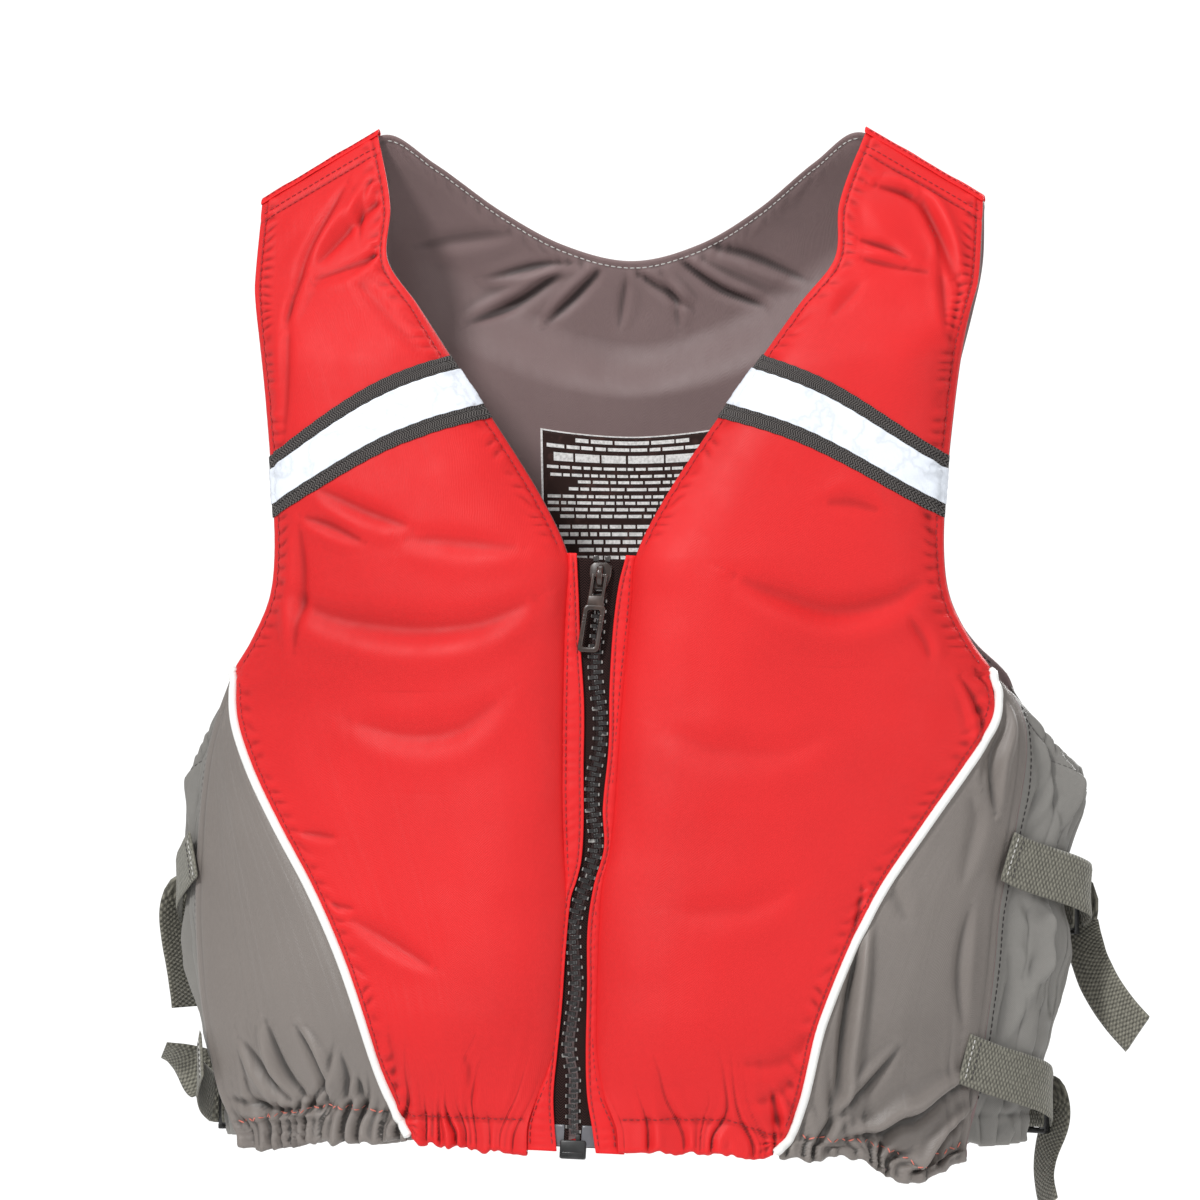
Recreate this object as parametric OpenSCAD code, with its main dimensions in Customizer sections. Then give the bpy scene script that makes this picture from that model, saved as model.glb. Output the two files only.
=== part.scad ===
/* [Outline] */
// Height of the inner shoulder point above the hem, mm
shoulder_h = 500; // [460:540]
// Half width of the front panel at the side edge, mm
side_half_w = 198; // [180:215]
// Depth of the hem in front of the shoulder line, mm
hem_front_y = 96; // [80:115]
// Depth of the hem behind the shoulder line, mm
hem_back_y = 75; // [60:95]

/* [Padding] */
// Outward swell of the front panels over their foam, mm
front_swell = 16; // [10:22]
// Inward swell of the front panels, mm
inner_swell = 13; // [8:16]
// Swell of the back panel on each face, mm
back_swell = 14; // [8:18]
// Thickness of a nylon cover, mm
cover_t = 0.8; // [0.5:0.1:1.2]
// Gap between a cover and its foam, mm
foam_gap = 1.7; // [0.8:0.1:2]

/* [Trim] */
// Radius of the reflective piping, mm
piping_r = 2.3; // [1.8:0.1:3]
// Height of the dark stripe tape, mm
tape_h = 30; // [24:36]
// Height of the reflective strip on the tape, mm
strip_h = 17; // [12:22]

/* [Zip] */
// Pitch of the teeth on one side, mm
tooth_pitch = 5; // [4:0.5:6]
// Number of teeth on each side
tooth_count = 53; // [40:60]
// Length of the zip line, mm
zip_len = 291; // [260:310]
// Half width of the gap between the facings, mm
zip_gap = 7.8; // [7:0.1:9]
// Sideways lean of the zip line at the hem, mm
zip_lean = -12; // [-20:20]

/* [Hang] */
// Share of the uneven roll of the two sides as the jacket hangs
side_roll = 1; // [0:0.1:1]

/* [Webbing] */
// Webbing width, mm
web_w = 25.4; // [20:0.1:38]
// Webbing thickness, mm
web_t = 1.2; // [1:0.1:1.8]
// Height of the upper strap at its sewn end, mm
upper_z = 144; // [125:160]
// Height of the lower strap at its sewn end, mm
lower_z = 45; // [34:60]
// Fall of a strap from its sewn end to its buckle, mm
strap_fall = 24; // [0:30]

/* [Hidden] */
hang_z = 478;
$fn = 48;
red = [0.72, 0.05, 0.05];
grey = [0.16, 0.16, 0.16];
liner = [0.13, 0.11, 0.115];
foamc = [0.86, 0.84, 0.78];
webc = [0.035, 0.037, 0.034];
reflc = [0.86, 0.88, 0.92];
plast = [0.03, 0.03, 0.03];
zip_b = atan(-zip_lean / 290);
zip_a = atan((hem_front_y - 70) / 290 * cos(zip_b));
k_side = side_half_w / 198;

// ---- smooth curve through a few points, and blends
function cl(x, a, b) = min(max(x, a), b);
function sg(t, p, i = 0) = (i >= len(p) - 2 || t < p[i + 1][0]) ? i : sg(t, p, i + 1);
function sl(p, i) = i <= 0 ? (p[1][1] - p[0][1]) / (p[1][0] - p[0][0])
  : i >= len(p) - 1 ? (p[i][1] - p[i - 1][1]) / (p[i][0] - p[i - 1][0])
  : (p[i + 1][1] - p[i - 1][1]) / (p[i + 1][0] - p[i - 1][0]);
function cr(t0, p) = let (t = cl(t0, p[0][0], p[len(p) - 1][0]), i = sg(t, p),
  h = p[i + 1][0] - p[i][0], s = (t - p[i][0]) / h)
  (2 * s * s * s - 3 * s * s + 1) * p[i][1] + (s * s * s - 2 * s * s + s) * h * sl(p, i)
  + (3 * s * s - 2 * s * s * s) * p[i + 1][1] + (s * s * s - s * s) * h * sl(p, i + 1);
function ss(x, a, b) = let (t = cl((x - a) / (b - a), 0, 1)) t * t * (3 - 2 * t);

// ---- front half panel: u from the zip or neck edge to the side or armhole, h up the panel
f_in = [[0, 16], [270, 16], [290, 16.5], [317, 29], [350, 50], [385, 74.5], [411, 94],
  [434, 111], [460, 112], [500, 122]];
f_out = [[0, 178], [16, 180], [32, 187], [64, 194], [96, 197], [128, 198], [188, 197], [214, 194],
  [226, 191.5], [234, 189], [249, 179], [270, 169], [292, 166], [323, 167], [367, 171],
  [400, 175], [425, 178], [447, 180], [500, 180]];
f_pipe = [[0, 90], [32, 104], [64, 114], [96, 126], [128, 141], [158, 158], [188, 174],
  [214, 185], [234, 189]];
y_in = [[290, 70], [350, 61], [385, 55], [411, 48], [434, 40], [460, 27], [480, 15], [500, 2.2]];
y_out = [[0, 34], [32, 31], [214, 30], [234, 36], [249, 42], [270, 47], [292, 49], [323, 49],
  [367, 45], [400, 40], [425, 33], [447, 23], [475, 13], [500, 2.2]];
function fxi(h) = cr(h, f_in);
function fxo(h) = cr(h, f_out) * k_side;
function fx(u, h) = fxi(h) + (fxo(h) - fxi(h)) * u;
function lean(h) = zip_lean * (1 - min(h, 290) / 290);
// how far each side edge rolls outward as the jacket hangs, by height
roll_l = [[0, -3], [25, -6], [58, -8.5], [90, -8], [120, -6.5], [162, 2], [205, 9], [222, 6],
  [236, 0], [500, 0]];
roll_r = [[0, 9], [30, 10], [60, 11], [120, 11], [165, 9], [205, 5], [236, 0], [500, 0]];
function roll(s, h) = h >= 236 ? 0 : side_roll * cr(h, s > 0 ? roll_l : roll_r);
function fxs(s, u, h) = s * (fx(u, h) + roll(s, h) * pow(u, 3)) + lean(h) * pow(max(0, 1 - u), 2.5);
function fup(h) = h >= 234 ? 1 : min(1, (cr(h, f_pipe) * k_side - fxi(h)) / (fxo(h) - fxi(h)));
function fz(u, h) = h * shoulder_h / 500 - ss(h, 380, 500) * (fx(u, h) - 122) * 34 / 58;
function fyi(h) = h <= 290 ? hem_front_y - (hem_front_y - 70) * h / 290 : cr(h, y_in);
function fym(u, h) = -(fyi(h) + (cr(h, y_out) - fyi(h)) * pow(u, 1.8));
function pil(u) = pow(max(0, 1 - pow(abs(2 * cl(u, 0, 1) - 1), 4)), 0.75);
function rise(h) = sqrt(ss(h, 14, 70)) * (1 - 0.93 * ss(h, 385, 440));
function base(h) = 1 + 1.3 * (1 - ss(h, 16, 34));
function fyo(u, h) = fym(u, h) - base(h) - front_swell * pil(u) * rise(h);
function fyn(u, h) = fym(u, h) + base(h) + inner_swell * pil(u) * rise(h);

// ---- back panel: u from -1 to 1 across, h up
b_out = [[0, 180], [16, 182], [32, 188], [64, 194], [96, 197], [128, 198], [188, 197], [214, 194],
  [226, 191], [234, 187], [249, 171], [270, 157], [292, 152], [323, 152], [367, 158], [400, 163.5],
  [440, 171], [470, 177], [500, 180]];
b_top = [[-0.19, 446], [0, 438], [0.19, 446], [0.36, 463], [0.53, 486], [0.667, 500], [1, 466]];
b_y = [[0, 0], [250, -13], [400, -28], [440, -37], [463, -48], [488, -65], [500, -72.8]];
function bx(u, h) = u * cr(h, b_out) * k_side;
function bz(u, h) = (h - ss(h, 300, 500) * (500 - cr(abs(u), b_top))) * shoulder_h / 500;
function bq(u, h) = bz(u, h) + max(0, abs(bx(u, h)) - 120) * 0.567 * ss(h, 380, 500);
function bym(u, h) = hem_back_y + cr(bq(u, h), b_y)
  - 33 * pow(abs(bx(u, h)) / 198, 3) * (1 - ss(h, 360, 490));
function brise(h) = sqrt(ss(h, 14, 70)) * (1 - 0.95 * ss(h, 400, 452));
function bpil(u) = pow(max(0, 1 - pow(abs(u), 5)), 0.75);
function byo(u, h) = bym(u, h) + base(h) + back_swell * bpil(u) * brise(h);
function byn(u, h) = bym(u, h) - base(h) - back_swell * bpil(u) * brise(h);

// ---- closed solid between two grids of points
function fl(a) = [for (r = a) for (p = r) p];
function qd(a, b, c, d, f) = f ? [[a, b, c], [a, c, d]] : [[a, c, b], [a, d, c]];
module slab(A, B, f = false) {
  nr = len(A); nc = len(A[0]); n = nr * nc;
  polyhedron(concat(fl(A), fl(B)), concat(
    [for (i = [0:nr - 2]) for (j = [0:nc - 2])
      for (q = qd(i * nc + j, i * nc + j + 1, (i + 1) * nc + j + 1, (i + 1) * nc + j, f)) q],
    [for (i = [0:nr - 2]) for (j = [0:nc - 2])
      let (a = n + i * nc + j) for (q = qd(a, a + nc, a + nc + 1, a + 1, f)) q],
    [for (j = [0:nc - 2]) for (q = qd(n + j, n + j + 1, j + 1, j, f)) q],
    [for (j = [0:nc - 2]) let (t = (nr - 1) * nc)
      for (q = qd(t + j, t + j + 1, n + t + j + 1, n + t + j, f)) q],
    [for (i = [0:nr - 2]) for (q = qd(i * nc, (i + 1) * nc, n + (i + 1) * nc, n + i * nc, f)) q],
    [for (i = [0:nr - 2]) let (a = i * nc + nc - 1, b = a + nc)
      for (q = qd(b, a, n + a, n + b, f)) q]));
}
// closed solid through rings of points
module rings(R) {
  m = len(R[0]); n = len(R);
  polyhedron(fl(R), concat(
    [for (i = [0:n - 2]) for (j = [0:m - 1])
      for (q = qd(i * m + j, i * m + (j + 1) % m, (i + 1) * m + (j + 1) % m, (i + 1) * m + j, false)) q],
    [for (j = [1:m - 2]) [0, j, j + 1]],
    [for (j = [1:m - 2]) let (t = (n - 1) * m) [t, t + j + 1, t + j]]));
}
function un(v) = v / norm(v);
function tg(P, i) = un(P[min(i + 1, len(P) - 1)] - P[max(i - 1, 0)]);
// flat band along a path with a normal at each point
module band(P, N, w, t) {
  rings([for (i = [0:len(P) - 1]) let (T = tg(P, i), n0 = N[i] - T * (N[i] * T),
    n = un(n0) * t / 2, W = cross(T, un(n0)) * w / 2)
    [P[i] + n - W, P[i] + n + W, P[i] - n + W, P[i] - n - W]]);
}
module up() { translate([0, 0, -hang_z]) children(); }

// ---- front covers, linings and foam
rowsA = [1, 16, 24, 36, 56, 84, 116, 150, 182, 208, 226, 234, 243, 254, 270, 292, 320, 352, 384, 408,
  430, 452, 476, 500];
rowsB = [1, 16, 24, 36, 56, 84, 116, 150, 182, 208, 222, 231];
colA = [0, 0.035, 0.1, 0.22, 0.4, 0.6, 0.78, 0.9, 0.965, 1];
colB = [0, 0.2, 0.45, 0.7, 0.88, 1];
function gapu(h) = (piping_r + 0.5) / (fxo(h) - fxi(h));
module front_shell(s) {
  up() slab([for (h = rowsA) [for (c = colA) let (u = c * (h < 236 ? fup(h) - gapu(h) : 1))
      [fxs(s, u, h), fyo(u, h), fz(u, h)]]],
    [for (h = rowsA) [for (c = colA) let (u = c * (h < 236 ? fup(h) - gapu(h) : 1))
      [fxs(s, u, h), fyo(u, h) + cover_t, fz(u, h)]]], s < 0);
}
function side_u(c, h) = let (a = min(fup(h) + gapu(h), 0.995)) a + c * (1 - a);
module side_panel(s) {
  up() slab([for (h = rowsB) [for (c = colB) let (u = side_u(c, h)) [fxs(s, u, h), fyo(u, h), fz(u, h)]]],
    [for (h = rowsB) [for (c = colB) let (u = side_u(c, h))
      [fxs(s, u, h), fyo(u, h) + cover_t, fz(u, h)]]], s < 0);
}
module front_lining(s) {
  up() slab([for (h = rowsA) [for (c = colA) [fxs(s, c, h), fyn(c, h) - cover_t, fz(c, h)]]],
    [for (h = rowsA) [for (c = colA) [fxs(s, c, h), fyn(c, h), fz(c, h)]]], s < 0);
}
rowsF = [28, 42, 64, 95, 130, 170, 210, 240, 265, 300, 340, 380, 414];
colF = [0.05, 0.12, 0.26, 0.45, 0.64, 0.8, 0.9, 0.95];
function fwy(u, h, w) = let (a = fyo(u, h) + cover_t + foam_gap, b = fyn(u, h) - cover_t - foam_gap)
  a + (b - a) * w;
module foam_front(s, w0, w1) {
  up() slab([for (h = rowsF) [for (c = colF) [fxs(s, c, h), fwy(c, h, w0), fz(c, h)]]],
    [for (h = rowsF) [for (c = colF) [fxs(s, c, h), fwy(c, h, w1), fz(c, h)]]], s < 0);
}

// ---- piping tube along the seam between the red and grey covers
rowsP = [2, 12, 22, 34, 48, 64, 80, 96, 112, 128, 144, 160, 176, 192, 206, 218, 228, 234.5];
function pp(h, s) = [fxs(s, fup(h), h), fyo(fup(h), h) - 0.4, fz(fup(h), h)];
module piping(s) {
  P = [for (h = rowsP) pp(h, s)];
  up() rings([for (i = [0:len(P) - 1]) let (T = tg(P, i), n = un(cross(T, [1, 0, 0])), b = cross(T, n))
    [for (a = [0:45:315]) P[i] + piping_r * (n * cos(a) + b * sin(a))]]);
}

// ---- chest stripe: dark tape with a reflective strip on it
function str_h(u) = 374 - 49 * u + 8 * sin(180 * u);
module stripe(s, hh, off, th) {
  C = [for (c = colA) min(max(c, 0.004), 0.996)];
  R = [-0.5, 0, 0.5];
  up() slab([for (r = R) [for (u = C) let (h = str_h(u) + r * hh)
      [fxs(s, u, h), fyo(u, h) - off - th, fz(u, h)]]],
    [for (r = R) [for (u = C) let (h = str_h(u) + r * hh)
      [fxs(s, u, h), fyo(u, h) - off, fz(u, h)]]], s < 0);
}

// ---- zip, drawn upright and laid along its sloping line
module zp() { up() translate([zip_lean, -hem_front_y, 0]) rotate([-zip_a, zip_b, 0]) children(); }
module bx3(x0, x1, y0, y1, z0, z1) { translate([x0, y0, z0]) cube([x1 - x0, y1 - y0, z1 - z0]); }
module tooth(s) {
  linear_extrude(height = 2.05) polygon([[s * 3.8, -1.3], [s * 3.2, -1.6], [s * 0.5, -1.6],
    [-s * 0.3, -1.15], [-s * 1.25, -1.15], [-s * 1.25, 1.15], [-s * 0.3, 1.15],
    [s * 0.5, 1.6], [s * 3.2, 1.6], [s * 3.8, 1.3]]);
}
module zipper_teeth(s) {
  zp() for (i = [0:tooth_count - 1])
    translate([0, 0, 9.2 + (s > 0 ? 0 : tooth_pitch / 2) + i * tooth_pitch]) tooth(s);
}
module zipper_tape(s) {
  zp() union() {
    bx3(min(s * 2.6, s * 15.3), max(s * 2.6, s * 15.3), -0.35, 0.35, 8.9, zip_len);
    bx3(min(s * 6.9, s * 15.3), max(s * 6.9, s * 15.3), -0.35, 0.35, 3, 9.5);
  }
}
module zip_facing(s) {
  zp() bx3(min(s * zip_gap, s * 15.3), max(s * zip_gap, s * 15.3), -2.1, -0.9, 1, zip_len + 2);
}
module zipper_top_stops() {
  zp() { bx3(1.6, 4.2, -1.4, 1.4, 289.6, 292.6); bx3(-4.2, -1.6, -1.4, 1.4, 289.6, 292.6); }
}
module zipper_box() {
  zp() { difference() {
      bx3(-6.6, 6.6, -2.6, 2.6, -3, 6.4);
      bx3(0.8, 3.4, -1.3, 1.3, -1, 7);
    }
    bx3(1, 3.2, -1.1, 1.1, -0.8, 8.6);
  }
}
slider_z = 282.5;
module plate_prof() {
  hull() { translate([-3, -6.5]) square([6, 13]); translate([-5.4, 0.5]) square([10.8, 4.6]); }
}
module zipper_slider() {
  zp() translate([0, 0, slider_z]) {
    translate([0, -2, 0]) rotate([90, 0, 0]) linear_extrude(height = 1.3) plate_prof();
    translate([0, 3.3, 0]) rotate([90, 0, 0]) linear_extrude(height = 1.3) plate_prof();
    for (s = [-1, 1]) for (y = [-2.3, 0.8])
      bx3(min(s * 4.3, s * 5.4), max(s * 4.3, s * 5.4), y, y + 1.5, 0.6, 5);
    difference() {
      translate([-1.5, 0, 0]) rotate([90, 0, 90]) linear_extrude(height = 3)
        polygon([[-3.2, -5], [-6.4, -3], [-6.9, 0], [-6.4, 3], [-3.2, 5]]);
      translate([-3, -4.9, 0]) rotate([0, 90, 0]) cylinder(r = 1.15, h = 6);
    }
  }
}
module zipper_pull() {
  zp() translate([0, -4.9, slider_z]) {
    rotate([0, 90, 0]) translate([0, 0, -4]) cylinder(r = 0.85, h = 8);
    for (s = [-1, 1]) bx3(min(s * 2.3, s * 4), max(s * 2.3, s * 4), -0.85, 0.85, -10.6, 0);
    difference() {
      bx3(-4, 4, -1, 0.9, -15, -9.8);
      bx3(-1.4, 1.4, -2, 2, -11, -9);
    }
    difference() {
      bx3(-5.4, 5.4, -1.1, 0.9, -38, -14.6);
      bx3(-3.2, 3.2, -2, 2, -35.6, -17.2);
    }
  }
}

// ---- back panel
rowsK = [1, 16, 24, 38, 60, 95, 135, 175, 208, 234, 248, 270, 300, 340, 378, 405, 430, 452, 476, 500];
function mir(c) = concat([for (i = [len(c) - 1:-1:0]) -c[i]], [for (i = [1:len(c) - 1]) c[i]]);
colK = mir([0, 0.2, 0.38, 0.53, 0.667, 0.8, 0.9, 0.97, 1]);
function bup(h) = h >= 234 ? 1 : (cr(h, f_pipe) * k_side) / (cr(h, b_out) * k_side);
function bgap(h) = h >= 234 ? 0 : 0.5 / (cr(h, b_out) * k_side);
module back_shell() {
  up() slab([for (h = rowsK) [for (c = colK) let (u = c * (bup(h) - bgap(h)))
      [bx(u, h), byo(u, h), bz(u, h)]]],
    [for (h = rowsK) [for (c = colK) let (u = c * (bup(h) - bgap(h)))
      [bx(u, h), byo(u, h) - cover_t, bz(u, h)]]], true);
}
function bside_u(c, h) = let (a = min(0.996, bup(h) + bgap(h))) a + c * (1 - a);
module back_side(s) {
  up() slab([for (h = rowsB) [for (c = colB) let (u = s * bside_u(c, h)) [bx(u, h), byo(u, h), bz(u, h)]]],
    [for (h = rowsB) [for (c = colB) let (u = s * bside_u(c, h))
      [bx(u, h), byo(u, h) - cover_t, bz(u, h)]]], s > 0);
}
module back_lining() {
  up() slab([for (h = rowsK) [for (u = colK) [bx(u, h), byn(u, h), bz(u, h)]]],
    [for (h = rowsK) [for (u = colK) [bx(u, h), byn(u, h) + cover_t, bz(u, h)]]], false);
}
rowsG = [30, 48, 76, 110, 150, 190, 225, 250, 280, 315, 350, 385, 420];
colG = mir([0, 0.2, 0.4, 0.58, 0.74, 0.86, 0.94]);
function bwy(u, h, w) = let (a = byo(u, h) - cover_t - foam_gap, b = byn(u, h) + cover_t + foam_gap)
  a + (b - a) * w;
module foam_back(w0, w1) {
  up() slab([for (h = rowsG) [for (u = colG) [bx(u, h), bwy(u, h, w0), bz(u, h)]]],
    [for (h = rowsG) [for (u = colG) [bx(u, h), bwy(u, h, w1), bz(u, h)]]], true);
}
module printed_label() {
  H = [for (i = [0:8]) 246 + i * 15.2];
  U = [for (i = [0:8]) -0.265 + i * 0.53 / 8];
  up() slab([for (h = H) [for (u = U) [bx(u, h), byn(u, h) - 1.1, bz(u, h)]]],
    [for (h = H) [for (u = U) [bx(u, h), byn(u, h) - 0.6, bz(u, h)]]], false);
}

// ---- stretch side gussets
function gtop(t) = 229 - 42 * pow(sin(180 * t), 0.8);
// outward swell of each gusset, by height
swell_l = [[0, 22], [27, 24], [53, 24], [81, 25.5], [103, 28], [118, 26.5], [140, 26], [160, 29.5], [174, 31],
  [185, 29], [205, 22], [229, 16]];
swell_r = [[0, 14], [30, 12.5], [54, 11.5], [73, 11.5], [100, 14.5], [124, 15], [152, 15.3], [183, 14.8],
  [205, 12], [229, 10]];
function gx(s, t, h) = (fxo(h) + roll(s, h) - 0.8) * (1 - t) + (cr(h, b_out) * k_side - 0.8) * t
  + cr(h, s > 0 ? swell_l : swell_r) * sin(180 * t)
  + 2.4 * sin(180 * t) * sin(1440 * t + 0.5 * h);
function gy(t, h) = -26.5 + (bym(1, h) - 3.2 + 26.5) * t;
module gusset(s) {
  T = [for (i = [0:20]) i / 20];
  V = [for (i = [0:8]) i / 8];
  up() slab([for (v = V) [for (t = T) let (h = 6 + (gtop(t) - 6) * v)
      [s * gx(s, t, h), gy(t, h), h]]],
    [for (v = V) [for (t = T) let (h = 6 + (gtop(t) - 6) * v)
      [s * (gx(s, t, h) - 1.4), gy(t, h), h]]], s < 0);
}

// ---- hem elastic, inside the hem tunnel
module hem_front(s) {
  C = [for (i = [0:12]) 0.02 + i * 0.96 / 12];
  up() slab([for (h = [3, 8, 13]) [for (u = C) [fxs(s, u, h), fym(u, h) - 0.5, h]]],
    [for (h = [3, 8, 13]) [for (u = C) [fxs(s, u, h), fym(u, h) + 0.5, h]]], s < 0);
}
module hem_back() {
  C = [for (i = [0:24]) -0.98 + i * 1.96 / 24];
  up() slab([for (h = [3, 8, 13]) [for (u = C) [bx(u, h), bym(u, h) + 0.5, h]]],
    [for (h = [3, 8, 13]) [for (u = C) [bx(u, h), bym(u, h) - 0.5, h]]], true);
}

// ---- bound seam over each shoulder
module shoulder_seam(s) {
  X = [for (i = [0:8]) 122.5 + i * 57 / 8];
  Y = [-3.4, -1.5, 0, 1.5, 3.4];
  up() slab([for (y = Y) [for (x = X) [s * x, y, 503.4 - y * y * 0.13 - (x - 122) * 34 / 58]]],
    [for (y = Y) [for (x = X) [s * x, y, 502.2 - y * y * 0.13 - (x - 122) * 34 / 58]]], s < 0);
}

// ---- side webbing: sewn run, buckle, anchor loop and free tail
la = -50;
function bar_x(z0) = z0 > 100 ? 207.5 : 192;
function bar_y(z0) = z0 > 100 ? 50 : 54;
// from axes along and across a buckle to the frame
function lw(z0, x, y) = [bar_x(z0) + x * cos(la) - y * sin(la), bar_y(z0) + x * sin(la) + y * cos(la)];
run_lu = [[196, -37], [202, -30.5], [210, -22], [219, -12.5], [227, -2.5], [231.5, 7], [230.6, 15.5],
  [225.4, 24]];
run_ll = [[175.5, -45], [182, -38.5], [188.5, -31.5], [196, -22.5], [203, -12.5], [209, -1.5], [212, 8],
  [212, 18], [209.9, 28]];
run_ru = [[209.5, -33], [213.5, -26], [217.5, -16.5], [221.5, -6], [224, 4], [224.8, 14], [225.4, 24]];
run_rl = [[204.8, -36], [207.3, -27.5], [209.8, -17], [211.8, -5.5], [212.8, 6], [212.2, 17.5],
  [209.9, 28]];
function run(s, z0) = z0 > 100 ? (s > 0 ? run_lu : run_ru) : (s > 0 ? run_ll : run_rl);
module strap_run(s, z0) {
  r = run(s, z0);
  n = len(r);
  P = [for (i = [0:n - 1]) [s * r[i][0], r[i][1], z0 - strap_fall * i / (n - 1)]];
  N = [for (i = [0:n - 1]) let (d = r[min(i + 1, n - 1)] - r[max(i - 1, 0)]) un([s * d[1], -d[0], 0])];
  up() band(P, N, web_w, web_t);
}
module lock(s, z0) {
  up() translate([s * bar_x(z0), bar_y(z0), z0 - strap_fall]) rotate([0, 0,
    s > 0 ? la : 180 - la]) union() {
    for (k = [-1, 1]) translate([0, 0, k * 14.6 - 1.4]) linear_extrude(height = 2.8) union() {
      circle(r = 2.2);
      translate([0, -1.7]) square([24.6, 3.4]);
    }
    translate([0, 0, -14.6]) cylinder(r = 1.9, h = 29.2);
    bx3(8.4, 12, -1.5, 1.5, -14.6, 14.6);
    bx3(20, 24.6, -1.7, 1.7, -14.6, 14.6);
  }
}
ae = un([-0.91, 0.41]);
an = [0.41, 0.91];
function aw(z0, e, n) = [bar_x(z0) + ae[0] * e + an[0] * n, bar_y(z0) + ae[1] * e + an[1] * n];
// a place on the back panel's outer face, where the anchor is sewn
function face_y(x, h) = byo(x / (cr(h, b_out) * k_side), h);
function sewn(x, h) = [x, max(face_y(x, h - 13), face_y(x, h + 13)) + 1.4];
function apath(z0) = let (b = bar_x(z0)) concat(
  [for (x = [b - 57.5, b - 47.5, b - 36]) sewn(x, z0 - strap_fall)],
    [aw(z0, 25, 3.6), aw(z0, 14, 3.1), aw(z0, 5, 3)],
  [for (a = [90:-30:-90]) aw(z0, -3 * cos(a), 3 * sin(a))],
    [aw(z0, 5, -3), aw(z0, 14, -2.5), aw(z0, 22, -1.7)]);
module anchor(s, z0) {
  A = apath(z0);
  n = len(A);
  P = [for (p = A) [s * p[0], p[1], z0 - strap_fall]];
  N = [for (i = [0:n - 1]) let (d = A[min(i + 1, n - 1)] - A[max(i - 1, 0)]) un([s * -d[1], d[0], 0])];
  up() band(P, N, web_w, web_t);
}
tin = [[25.4, -2.7], [18, -2.75], [12, -2.5], [8.6, -2.6], [7.3, -1.7], [7, 0], [7.3, 1.7], [8.6, 2.6],
  [12, 2.5], [18, 2.8], [25, 3]];
function bz3(a, b, c, d, t) = a * pow(1 - t, 3) + b * 3 * t * pow(1 - t, 2)
  + c * 3 * t * t * (1 - t) + d * pow(t, 3);
// b, c, d: guide points of the hanging part; e: the way its face looks at the free end
module tail(s, z0, b, c, d, e) {
  zt = z0 - strap_fall;
  q0 = lw(z0, 25, 3);
  a = [q0[0], q0[1], zt];
  P1 = [for (p = tin) let (q = lw(z0, p[0], p[1])) [s * q[0], q[1], zt]];
  H = [for (i = [1:10]) let (q = bz3(a, b, c, d, i / 10)) [s * q[0], q[1], q[2]]];
  P = concat(P1, H);
  m = len(P1);
  N = [for (i = [0:len(P) - 1]) i < m ?
    let (v = P[min(i + 1, m - 1)] - P[max(i - 1, 0)]) un(s * [-v[1], v[0], 0])
    : let (k = (i - m + 1) / 10, w = [-sin(la), cos(la), 0] * (1 - k) + e * k) un([s * w[0], w[1], w[2]])];
  up() band(P, N, web_w, web_t);
}

module front_shell_left() { color(red) front_shell(1); }
module front_shell_right() { color(red) front_shell(-1); }
module side_panel_left() { color(grey) side_panel(1); }
module side_panel_right() { color(grey) side_panel(-1); }
module front_lining_left() { color(liner) front_lining(1); }
module front_lining_right() { color(liner) front_lining(-1); }
module foam_front_left_outer() { color(foamc) foam_front(1, 0, 0.325); }
module foam_front_left_middle() { color(foamc) foam_front(1, 0.335, 0.66); }
module foam_front_left_inner() { color(foamc) foam_front(1, 0.67, 1); }
module foam_front_right_outer() { color(foamc) foam_front(-1, 0, 0.325); }
module foam_front_right_middle() { color(foamc) foam_front(-1, 0.335, 0.66); }
module foam_front_right_inner() { color(foamc) foam_front(-1, 0.67, 1); }
module piping_left() { color(reflc) piping(1); }
module piping_right() { color(reflc) piping(-1); }
module stripe_tape_left() { color(webc) stripe(1, tape_h, 0.9, 0.5); }
module stripe_tape_right() { color(webc) stripe(-1, tape_h, 0.9, 0.5); }
module reflective_left() { color(reflc) stripe(1, strip_h, 1.6, 0.4); }
module reflective_right() { color(reflc) stripe(-1, strip_h, 1.6, 0.4); }
module zip_facing_left() { color(red) zip_facing(1); }
module zip_facing_right() { color(red) zip_facing(-1); }
module zipper_tape_left() { color(webc) zipper_tape(1); }
module zipper_tape_right() { color(webc) zipper_tape(-1); }
module zipper_teeth_left() { color(plast) zipper_teeth(1); }
module zipper_teeth_right() { color(plast) zipper_teeth(-1); }
module zipper_stops() { color(plast) zipper_top_stops(); }
module hem_elastic_left() { color(webc) hem_front(1); }
module hem_elastic_right() { color(webc) hem_front(-1); }
module hem_elastic_back() { color(webc) hem_back(); }
module lock_left_upper() { color(plast) lock(1, upper_z); }
module lock_left_lower() { color(plast) lock(1, lower_z); }
module lock_right_upper() { color(plast) lock(-1, upper_z); }
module lock_right_lower() { color(plast) lock(-1, lower_z); }
module tail_left_upper() {
  color(webc) tail(1, upper_z, [224, 41, 104], [226, 34, 82], [254, 22, 55], [0.3, 0.9, 0.4]);
}
module tail_left_lower() {
  color(webc) tail(1, lower_z, [218.5, 35, 12], [199, 42, -2], [209, 33, -30], [0.85, 0.45, 0.1]);
}
module tail_right_upper() {
  color(webc) tail(-1, upper_z, [232, 32, 115], [226, 39, 96], [223, 37, 66], [0.8, 0.6, 0.1]);
}
module tail_right_lower() {
  color(webc) tail(-1, lower_z, [210, 41, 24], [219, 36, 40], [236, 33, 44], [0.15, 0.3, 0.94]);
}

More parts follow.
